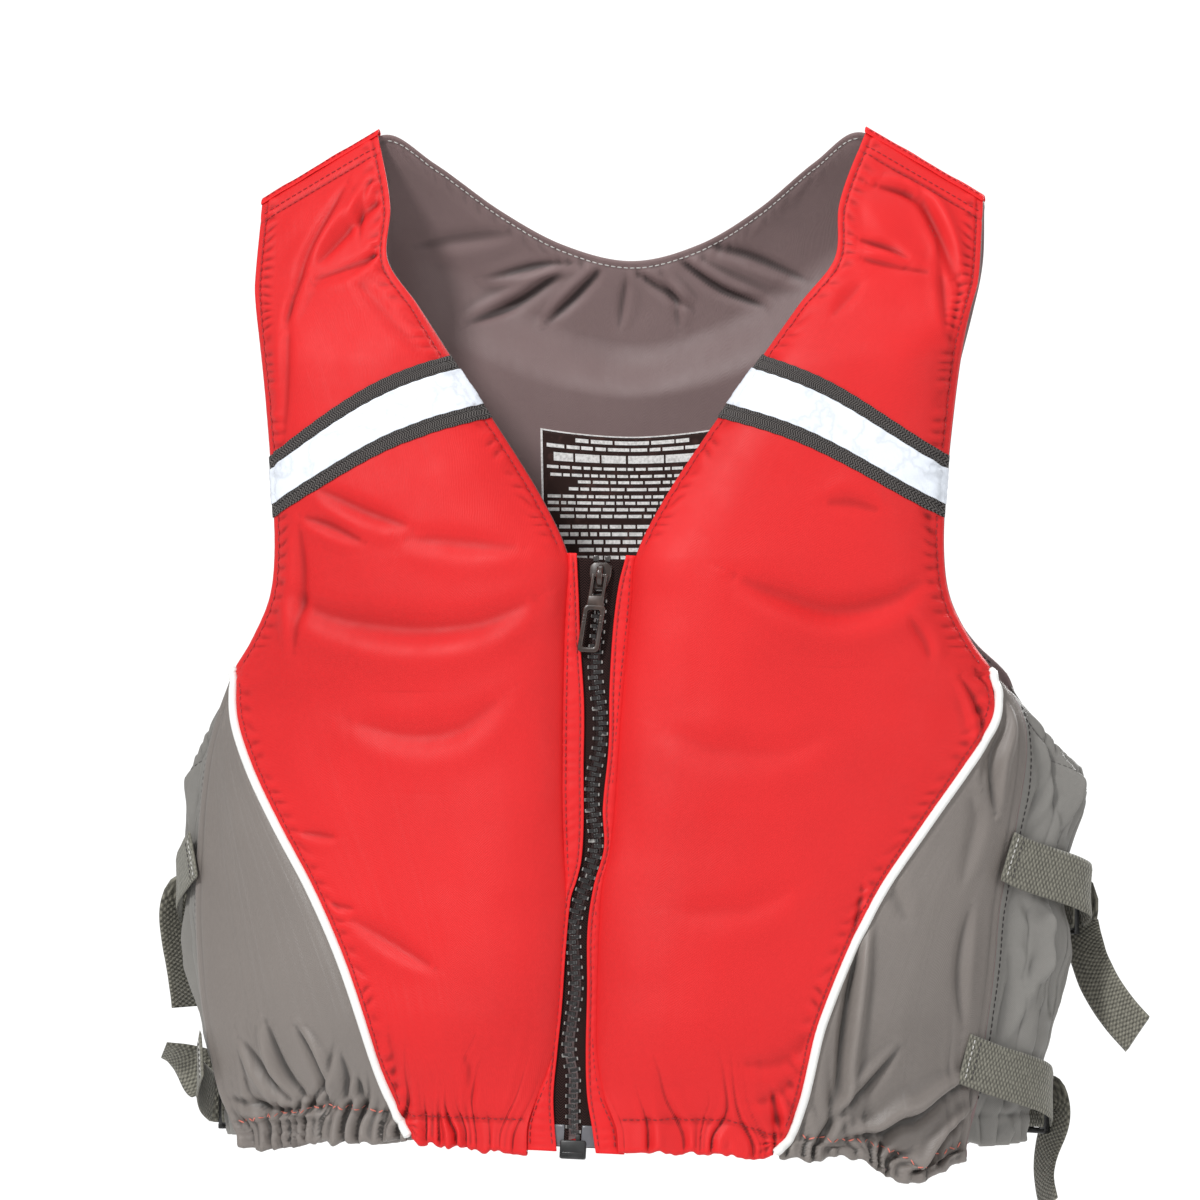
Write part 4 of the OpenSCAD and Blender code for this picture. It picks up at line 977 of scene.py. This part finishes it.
bag = Bag()
for s in (-1, 1):
    bag.put(zv, rbox(s * 1.6, s * 4.2, -1.4, 1.4, 289.6, 292.6, 0.4))
bag.build("zip_top_stops", TOOTH, "black_plastic", "zipper_top_stops")
bag = Bag()
for solid in (rbox(-6.3, 6.3, -2.6, 2.6, -3, 6.2, 0.9, 3), rbox(-5.2, 5.2, -3.0, -2.3, -1.4, 0.3, 0.3),
              rbox(1.1, 3.2, -1.1, 1.1, 5.6, 9.2, 0.35)):
    bag.put(lambda v: zv(v + [1.2, 0, 0]), solid)
bag.build("zip_box_moulded", BLACK, "black_plastic", "zipper_box")
bag = Bag()
for x0, x1 in ((-11.5, -3.6), (5.2, 13.5)):
    X, Z = np.meshgrid(linspace(x0, x1, 8), linspace(3.2, 13.5, 10))
    Y = -0.75 + 0.1 * sin(X * 0.7)
    bag.add(*closed(zp(X, Y, Z), zp(X, Y + 0.25, Z))[:2])
bag.build("zip_end_films", FILM, "zip_tape")

# slider: two plates, their side flanges and the arch that holds the pull
plate = [(-3, -6.5), (3, -6.5), (4.6, -2.5), (5.4, 0.5), (5.4, 4.0), (4.6, 5.4), (3, 6.5), (-3, 6.5), (-4.6, 5.4), (-5.4, 4.0),
         (-5.4, 0.5), (-4.6, -2.5)]
bag = Bag()
for y0, y1 in ((-3.3, -2.0), (2.0, 3.3)):
    v, f = prism(plate, y0, y1, 0.45, 3)
    bag.add(on_slider(v[:, [0, 2, 1]]), [g[::-1] for g in f])
for s in (-1, 1):
    for y0 in (-2.3, 0.8):
        bag.put(on_slider, rbox(s * 4.3, s * 5.4, y0, y0 + 1.5, 0.6, 5, 0.3))
ARCH = array([(-2.9, -5.2, -0.5, -1), (-4.4, -4.7, -0.8, -0.8), (-5.8, -3.2, -1, -0.6), (-6.45, -1.4, -1, -0.2), (-6.5, 0.4, -1, 0.1),
              (-6.1, 2.4, -1, 0.6), (-5, 4, -0.8, 0.8), (-2.9, 4.9, -0.5, 1.0)])  # y, z, and its normal
bag.put(on_slider, ribbon(*(np.c_[0 * ARCH[:, 0], ARCH[:, k:k + 2]] for k in (0, 2)), 3.0, 1.0, 26, 7, seed=1))
bag.build("zip_slider_body", METAL, "black_plastic", "zipper_slider", body="slider")

bag = Bag()
v, f = prism(rod(0.85, 14), -4, 4, 0.2, 1)
bag.add(on_pull(v[:, [2, 0, 1]]), f)
for s in (-1, 1):
    bag.put(on_pull, rbox(s * 2.3, s * 4, -0.85, 0.85, -11, 0.8, 0.5, 3))
bag.put(on_pull, rbox(-4.1, 4.1, -1.0, 0.9, -16, -10, 0.6, 3))
v, f = frame_between(roundrect(5.4, 11.7, 2.2), roundrect(3.1, 9.2, 1.2), -1.1, 0.9, 0.5)
bag.add(on_pull(v[:, [0, 2, 1]] - [0, 0, 26.3]), f)
for z in (-20, -21.6, -23.2):
    for s in (-1, 1):
        bag.put(on_pull, rbox(s * 3.5, s * 5.1, -1.45, -0.9, z - 0.5, z + 0.3, 0.2, 2))
bag.build("zip_pull_tab", METAL, "black_plastic", "zipper_pull", body="pull")

# ------------------------------------------------------------------ back

lining = partial(back, offs=(0.0,), inside=True)
hb = concatenate([linspace(0, 233, int(130 * DENS)), linspace(234.5, 500, int(170 * DENS))])[:, None]
cb = row(-1, 1, 250)
ob = cover("back_cover", back, lining, cb * (bup(hb) - where(hb < 234, 0.4, 0) / cr(hb, B_OUT)), hb, RED, True)
piece(ob, "red_nylon", "back_shell", "foam_back_outer", "foam_back_middle", "foam_back_inner", "hem_elastic_back")
hh, ha = arange(20, 231, STEP), arange(238, 491, STEP)
for s, side in SIDES:
    h = col(0, 233, 130)
    a = np.minimum(bup(h) + 0.4 / cr(h, B_OUT), 0.996)
    ob = cover("back_side_cover_" + side, back, lining, s * (a + row(0, 1, 60) * (1 - a)), h, GREY, s > 0)
    piece(ob, "grey_nylon", "back_side_" + side)
    back_seam("red", False, s * (bup(hh) - 4.2 / cr(hh, B_OUT)), hh)
    for kind, inside in (("red", False), ("dark", True)):
        back_seam(kind, inside, s * (1 - 2.6 / cr(ha, B_OUT)), ha)
A, B, _ = back(cb, hb, CLOTH, True)
ob = piece(skin("back_lining_cloth", A, B, LINE, uv_of(A)), "lining", "back_lining")
u = linspace(-0.66, 0.66, 420)
for kind, inside, length in (("pale", True, 2.4), ("red", False, 2.5)):
    back_seam(kind, inside, u, 500 - 2.9 * 500 / cr(np.abs(u), B_TOP), length=length)
u, join = linspace(-0.97, 0.97, 420), bup(16.0)
back_seam("red", False, u[np.abs(u) < join - 0.02], 16.0)
for s in (-1, 1):
    back_seam("hem", False, u[s * u > join + 0.02], 16.0, **ZIGZAG)

# printed label: dark ground, border and rows of plain bars
rng = np.random.RandomState(7)
LX, LT, LB = 46.0, 367.0, 250.0  # half width, top and bottom


def bar(bag, x0, x1, z0, z1, top=0.3):
    nx, nz = (max(2, int(d / 2.5) + 1) for d in (x1 - x0, z1 - z0))
    X, Z = np.meshgrid(linspace(x0, x1, nx), linspace(z0, z1, nz))
    A, B, _ = back(X / cr(Z, B_OUT), Z, (top, -0.02), True)
    ia = arange(nx * nz).reshape(nz, nx)
    a = concatenate([ia[0], ia[1:, -1], ia[-1, -2::-1], ia[-2:0:-1, 0]])
    b = np.roll(a, -1)
    f = [grid_faces(nz, nx), grid_faces(nz, nx, nx * nz, True), stack([a + nx * nz, b + nx * nz, b, a], 1)]
    bag.add(concatenate([A.reshape(-1, 3), B.reshape(-1, 3)]), concatenate(f).tolist())


bag = Bag()
bar(bag, -LX + 0.5, LX - 0.5, LB + 0.5, LT - 0.5, 0.14)
bag.build("label_ground", INK, "label_print", "printed_label")
bag = Bag()
for q in ((-LX, LX, LT - 1, LT), (-LX, LX, LB, LB + 1), (-LX, -LX + 1, LB + 1, LT - 1), (LX - 1, LX, LB + 1, LT - 1)):
    bar(bag, *q)
# rows of bars: height, thickness, share of the width, length of one bar
rows = [(361.5, 3.4, 0.62, 14), (356, 3.0, 0.92, 9), (348.5, 6.2, 0.86, 17), (341.5, 2.4, 0.95, 6), (336.5, 2.3, 0.9, 5),
        (332.3, 2.3, 0.6, 7), (327.8, 2.3, 0.7, 8), (323.2, 2.2, 0.95, 6), (319.4, 2.2, 0.95, 6), (315.6, 2.2, 0.95, 6),
        (311.8, 2.2, 0.8, 6)]
rows += [(306.2 - 3.9 * i, 2.3, 0.94 if i % 4 < 3 else 0.6, 6.5) for i in range(14)]
for zc, hgt, share, word in rows:
    end = LX - 3 if share > 0.9 else LX * share
    x = -end
    while x < end - 2:
        w = min(word * rng.uniform(0.4, 1.25), end - x)
        if w > 1.2:
            bar(bag, x, x + w, zc - hgt / 2 + 0.2, zc + hgt / 2 - 0.2)
        x += w + rng.uniform(0.8, 1.3)
bag.build("label_bars", PRINT, "label_print", "printed_label", smooth=False)

# ------------------------------------------------------------------ side gussets


# folds of each side panel: (points as distance from its front seam and height, depth, width, ridge, side)
GFOLDS = {1: [([(5, 222), (11, 200), (13, 178), (18, 156)], 3.4, 3.4, 0.9), ([(30, 200), (24, 178), (25, 152)], 3.2, 3.6, 0.8, -1),
              ([(2, 205), (6, 182), (3, 158)], 2.4, 2.8, 0.9), ([(44, 186), (36, 170), (36, 150)], 3.0, 4.0, 0.8),
              ([(15, 215), (22, 196), (20, 176)], 2.2, 2.8, 0.8, -1), ([(8, 124), (15, 104), (12, 80)], 3.2, 3.6, 0.9),
              ([(22, 126), (22, 100), (30, 66)], 3.4, 3.8, 0.9, -1), ([(5, 100), (8, 78), (5, 52)], 2.2, 3.0, 0.8),
              ([(40, 118), (38, 90), (42, 58)], 3.2, 4.4, 0.8), ([(10, 30), (18, 20), (14, 6)], 2.6, 3.0, 0.9),
              ([(30, 32), (26, 18), (30, 4)], 2.4, 3.2, 0.8), ([(54, 170), (52, 130), (54, 90)], 2.2, 4.0, 0.6)],
          -1: [([(8, 212), (12, 186), (9, 158)], 2.2, 3.6, 0.8), ([(26, 196), (24, 170), (27, 146)], 2.4, 4.0, 0.8, -1),
               ([(44, 186), (40, 160), (44, 130)], 2.2, 4.4, 0.7), ([(12, 122), (16, 96), (12, 64)], 2.2, 3.8, 0.8),
               ([(34, 120), (30, 92), (34, 56)], 2.4, 4.2, 0.7, -1), ([(12, 30), (18, 16), (14, 4)], 2.2, 3.0, 0.8)]}


GW = 65  # the width over which the side panel's folds are laid out


def gtop(t): return 229 - 42 * sin(pi * clip(t, 0, 1)) ** 0.8


def gusset(s, t, v):
    """Stretch side panel: t from front to back, v from hem to armhole. The straps pull it in as they cross it."""
    t, v = np.broadcast_arrays(np.asarray(t, float), np.asarray(v, float))
    h = 4 + (gtop(t) - 4) * v
    g, top, sn = t * GW, gtop(t) - h, sin(pi * clip(t, 0, 1))
    x = (fxo(h) + roll(s, h) - 0.8) * (1 - t) + (cr(h, B_OUT) - 0.8) * t + cr(h, SWELL[s]) * sn
    k = ss(t, 0, 0.12) * ss(1 - t, 0, 0.12)
    held = clip(dip(h + 16 * t, 137, 19) + dip(h + 16 * t, 36, 17), 0, 1)
    w = t * 8 + 0.5 * vnoise(t * 60, h, 50, 150 + s) + 0.25 * vnoise(t * 60, h, 22, 151 + s)
    big = 2.3 * sin(2 * pi * w * 0.5 + s) + 1.7 * (2 * np.abs(sin(pi * w * 0.93 + 0.7)) ** 0.8 - 1.2)
    big = 0.6 * big * (0.55 + 0.45 * cos(pi * (v - 0.55))) * ss(h, 6, 34) * ss(top, 2, 26)
    soft = 1.5 * vnoise(g, h * 0.6, 15, 160 + s) + 0.7 * vnoise(g, h * 0.7, 6, 161 + s) + folds(g, h, GFOLDS[s], 1.4, 0.75)
    rib = 1.9 * np.abs(sin(pi * (g / 5.2 + 0.9 * vnoise(g, h * 0.3, 9, 170)))) ** 0.7 - 1.2
    reach = 6 + 9 * clip(vnoise(g, 0, 7, 171) + 0.5, 0, 1)
    rib = rib * exp(-((maximum(top - 9, 0) / reach) ** 1.2)) * 0.75
    hem = 1.6 * sin(2 * pi * (g / 7.2 + 0.6 * vnoise(g, h * 0.3, 14, 175))) * exp(-maximum(h - 16, 0) / 16)
    x = x + (big + soft * ss(top, 2, 14) * ss(h, 2, 10)) * k * (1 - 0.7 * held) - 2.0 * held * sn
    x = x + (rib + hem - dip(top, 10, 1.3) - 0.9 * dip(h, 17, 1.4)) * k
    y = -26.5 + (bym(1.0, h) + 23.3) * t + 0.8 * vnoise(g, h, 20, 180) * k
    # the last few millimetres reach in to the two panels it is sewn to
    y = y + (fyn(1.0, h) + 25.9) * (1 - ss(t, 0, 0.06)) + (byn(1.0, h) - bym(1.0, h) + 3.8) * ss(t, 0.94, 1)
    wave = 0.9 * vnoise(g, 0, 4.5, 190 + s) * (exp(-h / 9) + exp(-top / 6))
    return stack([s * x, y, h + (wave + (-4 if s > 0 else 1) * exp(-h / 14) * (1 - t)) * k], -1)


for s, side in SIDES:
    A = gusset(s, row(0, 1, 150), col(0, 1, 150))
    n = unit(cross(np.gradient(A, axis=1), np.gradient(A, axis=0)))
    n = n * np.sign(n[..., :1] * s + 1e-9)
    ob = piece(skin("side_gusset_" + side, A, A - n * 0.9, GUSS, uv_of(A), s < 0), "grey_nylon", "gusset_" + side)
    for t, turn in ((0.035, -0.4), (0.965, 0.4)):
        N_ = array([s * 0.9, turn, 0])
        stitches(THREADS["dark"], gusset(s, t, linspace(0.06, 0.99, 260)) + N_ * 0.15, N_, 2.4, 0.9, 0.32)
    t = linspace(0.03, 0.97, 200)
    stitches(THREADS["dark"], gusset(s, t, 1.0 - 11 / gtop(t)) + [s * 0.15, 0, 0], (s, 0, 0), 2.0, 1.0)

# ------------------------------------------------------------------ shoulder seams


def ridge(x, y, top): return top - y * y * 0.13 - (x - 122) * 34 / 58


for s, side in SIDES:
    X, Y = np.broadcast_arrays(linspace(121.8, 180.2, 60)[None], linspace(-4.4, 4.4, 17)[:, None])
    Z = ridge(X, Y, 503.4) + 0.25 * vnoise(X, Y * 3, 9, 190) + 0.12 * sin(2 * pi * X / 3.3) * exp(-((np.abs(Y) - 3.2) / 0.8) ** 2)
    A = stack([s * X, Y + 0.4 * sin(X / 9), Z], -1)
    ob = skin("shoulder_binding_" + side, A, A - [0, 0, 0.9], RED_IN, stack([X, Y], -1), s < 0)
    piece(ob, "red_nylon", "shoulder_seam_" + side)
    for y in (-2.7, 2.7):
        x = linspace(123, 179, 90)
        stitches(THREADS["red"], stack([s * x, y + 0.4 * sin(x / 9), ridge(x, y, 503.55)], -1), (0, 0, 1.0), 2.3, 0.9, 0.28)

# ------------------------------------------------------------------ side webbing and buckles

LA = np.radians(-50)  # how the buckles lie, seen from above
FALL = 24.0  # a strap drops this much on its way back
WEB_W = 25.4
BAR = {"upper": (207.5, 50.0), "lower": (192.0, 54.0)}
RUNS = {(1, "upper"): [(196, -37), (202, -30.5), (210, -22), (219, -12.5), (227, -2.5), (231.5, 7), (230.6, 15.5), (225.4, 24)],
        (1, "lower"): [(175.5, -45), (182, -38.5), (188.5, -31.5), (196, -22.5), (203, -12.5), (209, -1.5), (212, 8), (212, 18),
                       (209.9, 28)],
        (-1, "upper"): [(209.5, -33), (213.5, -26), (217.5, -16.5), (221.5, -6), (224, 4), (224.8, 14), (225.4, 24)],
        (-1, "lower"): [(204.8, -36), (207.3, -27.5), (209.8, -17), (211.8, -5.5), (212.8, 6), (212.2, 17.5), (209.9, 28)]}
TIN = [(25.4, -2.7), (18, -2.75), (12, -2.5), (8.6, -2.6), (7.3, -1.7), (7, 0), (7.3, 1.7), (8.6, 2.6), (12, 2.5), (18, 2.8), (25, 3)]
AE = array([-0.91, 0.41]) / np.hypot(0.91, 0.41)
AN = array([0.41, 0.91])
TAILS = {("left", "upper"): ((224, 41, 104), (226, 34, 82), (254, 22, 55), (0.3, 0.9, 0.4)),
         ("left", "lower"): ((218.5, 35, 12), (199, 42, -2), (209, 33, -30), (0.85, 0.45, 0.1)),
         ("right", "upper"): ((232, 32, 115), (226, 39, 96), (223, 37, 66), (0.8, 0.6, 0.1)),
         ("right", "lower"): ((210, 41, 24), (219, 36, 40), (236, 33, 44), (0.15, 0.3, 0.94))}


def aw(bar, e, n): return array(bar) + AE * e + AN * n


def lw(bar, x, y):
    return array([bar[0] + x * cos(LA) - y * sin(LA), bar[1] + x * sin(LA) + y * cos(LA)])


def sewn(x, z):
    """A place on the back panel's outer face."""
    return array([x, max(float(byo(x / cr(z + d, B_OUT), z + d)) for d in (-13, 13)) + 1.4])


def beside(q):
    """Normals of a path seen from above."""
    q, i = np.asarray(q, float), arange(len(q))
    d = q[np.minimum(i + 1, len(q) - 1)] - q[maximum(i - 1, 0)]
    return unit(stack([-d[:, 1], d[:, 0], 0 * d[:, 0]], 1))


def webbing(name, node, body, P, N_, t, *shape, **kw):
    """A length of webbing bent along a path. Returns the frame along it."""
    v, f, uv, along = ribbon(P, N_, WEB_W, t, *shape, **kw)
    piece(make(name, v, f, WEB, uv), "webbing", node, body=body)
    return along


def tack(bag, along, at, half, lift, cup=0.0):
    """A row of stitches across webbing."""
    Q, M, W, L = along
    i = int(np.argmin(np.abs(L - at)))
    a = linspace(-half, half, 20)[:, None]
    stitches(bag, Q[i] + W[i] * a + M[i] * (lift + cup * ((a / 12.7) ** 2 - 0.4)), M[i], 2.0, 0.9)


# outlines of the ladder lock, seen from above: side plate, middle bar and front bar
PLATE = [(2.1 * cos(q), 2.1 * sin(q)) for q in linspace(pi / 2, 3 * pi / 2, 9)]
PLATE += [(6, -1.9), (14, -1.6), (24.6, -1.75), (24.6, 1.75), (14, 1.6), (6, 1.9)]
MIDDLE = [(8.4, -1.1), (9.0, -1.5), (11.6, -1.2), (12, -0.4), (12, 0.6), (11.2, 1.4), (9.2, 1.5), (8.4, 0.9)]
FRONT = [(20, -1.2), (20.6, -1.7), (24, -1.7), (24.6, -1.1), (24.6, 1.1), (23.8, 1.7), (20.8, 1.5), (20, 0.9)]

for s, side in SIDES:
    for lvl, z0 in (("upper", 144.0), ("lower", 45.0)):
        run, bar, end = RUNS[(s, lvl)], BAR[lvl], "_%s_%s" % (side, lvl)
        zt, seed = z0 - FALL, int(z0)
        P = [(s * x, y, z) for (x, y), z in zip(run, linspace(z0, zt, len(run)))]
        along = webbing("side_strap" + end, "strap" + end, "vest", P, beside(run) * [-s, -1, 1], 1.25, 90, 13, 0.25, seed=5 + seed)
        for at, kind in ((3.0, "pale"), (6.5, "dark")):
            tack(THREADS[kind], along, at, 11.4, 0.72, 0.25)
        # anchor loop sewn to the back and wrapped round the buckle's bar
        ap = [sewn(bar[0] - d, zt) for d in (57.5, 47.5, 36)] + [aw(bar, 25, 3.6), aw(bar, 14, 3.1), aw(bar, 5, 3)]
        ap += [aw(bar, -3 * cos(q), 3 * sin(q)) for q in np.radians(arange(90, -91, -30))]
        ap += [aw(bar, 5, -3), aw(bar, 14, -2.5), aw(bar, 22, -1.7)]
        P = [(s * x, y, zt) for x, y in ap]
        along = webbing("anchor_loop" + end, "anchor" + end, "vest", P, beside(ap) * [s, 1, 1], 1.15, 110, 11, seed=9 + seed)
        for at in (4.0, along[-1][-1] * 0.36):
            tack(THREADS["pale"], along, at, 11.2, 0.66)
        # ladder-lock buckle
        body = "buckle" + end
        ang = LA if s > 0 else pi - LA

        def place(v):
            x, y, z = v.T
            return stack([x * cos(ang) - y * sin(ang) + s * bar[0], x * sin(ang) + y * cos(ang) + bar[1], z + zt], -1)

        bag = Bag()
        for k in (-14.6, 14.6):
            bag.put(place, prism(PLATE, k - 1.4, k + 1.4, 0.55, 3))
        for outline, r in ((rod(1.9, 16), 0), (MIDDLE, 0.2), (FRONT, 0.2)):
            bag.put(place, prism(outline, -14, 14, r, 1))
        for k in range(-4, 5):
            bag.put(place, rbox(20.9, 24.0, 1.5, 2.0, k * 2.7 - 0.5, k * 2.7 + 0.5, 0.2, 2))
        bag.build("ladder_buckle" + end, BLACK, "black_plastic", "lock" + end, body=body)
        # free tail
        b, c, d, e = (array(q, float) for q in TAILS[(side, lvl)])
        a, P1 = array([*lw(bar, 25, 3), zt]), array([(*lw(bar, *q), zt) for q in TIN])
        k = (arange(1, 11) / 10)[:, None]
        P2 = a * (1 - k) ** 3 + b * 3 * k * (1 - k) ** 2 + c * 3 * k * k * (1 - k) + d * k**3
        N2 = unit(array([-sin(LA), cos(LA), 0]) * (1 - k) + e * k)
        P, N_ = concatenate([P1, P2]) * [s, 1, 1], concatenate([beside(P1), N2]) * [s, 1, 1]
        along = webbing("strap_tail" + end, "tail" + end, body, P, N_, 1.15, 150, 13, 0.35, 11.0, seed=13 + seed + s)
        bag = Bag()
        tack(bag, along, along[-1][-1] - 9, 11, 1.1)
        bag.build("tail_stitching" + end, T_DARK, "webbing", body=body)

for key, mat, name, slot in (("red", T_RED, "stitching_red", "red_nylon"), ("dark", T_DARK, "stitching_dark", "webbing"),
                             ("pale", T_WHITE, "stitching_pale", "label_print"), ("hem", T_ZIG, "stitching_hem", "red_nylon")):
    THREADS[key].build(name, mat, slot)

# ------------------------------------------------------------------ stage, light, camera

floor_m = Mat("studio_floor", 0.9, 0.2)
floor_m.color(floor_m.mix(floor_m.noise(3, 2), (0.86, 0.86, 0.86), (0.9, 0.9, 0.9)))
bpy.ops.mesh.primitive_circle_add(vertices=96, radius=12, fill_type="NGON", location=(0, 0, -1.38))
floor = bpy.context.active_object
floor.name = "studio_floor"
floor.data.materials.append(floor_m.m)
floor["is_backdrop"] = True

world = bpy.data.worlds.new("studio")
bpy.context.scene.world = world
world.use_nodes = True
world.node_tree.nodes["Background"].inputs[0].default_value = (1, 1, 1, 1)
wt = world.node_tree
wt.nodes["Background"].inputs[1].default_value = 0.435
bg = wt.nodes.new("ShaderNodeBackground")
lp, mx = wt.nodes.new("ShaderNodeLightPath"), wt.nodes.new("ShaderNodeMixShader")
wt.links.new(lp.outputs["Is Camera Ray"], mx.inputs[0])
wt.links.new(wt.nodes["Background"].outputs[0], mx.inputs[1])
wt.links.new(bg.outputs[0], mx.inputs[2])
wt.links.new(mx.outputs[0], wt.nodes["World Output"].inputs[0])
bg.inputs[0].default_value = (1, 1, 1, 1)


def area(name, loc, target, size, power, col=(1, 1, 1)):
    L = bpy.data.lights.new(name, "AREA")
    L.shape, L.size, L.energy, L.color = "DISK", size, power, col
    o = bpy.data.objects.new(name, L)
    o.location = loc
    o.rotation_euler = (Vector(target) - Vector(loc)).to_track_quat("-Z", "Y").to_euler()
    bpy.context.scene.collection.objects.link(o)
    o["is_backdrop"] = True


mid_ = (0, -0.02, -0.24)
area("key", (-1.7, -3.7, 2.7), mid_, 0.8, 165)
area("fill", (1.7, -1.5, 0.1), mid_, 1.2, 8)
area("back_key", (1.3, 1.9, 0.9), mid_, 0.8, 30)
area("top", (0, 0.2, 2.0), mid_, 1.0, 10)

cam = bpy.data.cameras.new("camera")
cam.sensor_width = 36
cam.lens = 91.8 * 4
cam.clip_start, cam.clip_end = 0.1, 200
co = bpy.data.objects.new("camera", cam)
az = np.radians(8)
fwd = Vector((-sin(az), cos(az), 0))
co.location = Vector((-0.00235, -0.0609, -0.2085)) - fwd * 6
co.rotation_euler = fwd.to_track_quat("-Z", "Y").to_euler()
bpy.context.scene.collection.objects.link(co)
bpy.context.scene.camera = co
bpy.context.scene.view_settings.view_transform = "Standard"
bpy.context.scene.view_settings.look = "None"
bpy.context.scene.view_settings.exposure = 0.2

lo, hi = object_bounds()
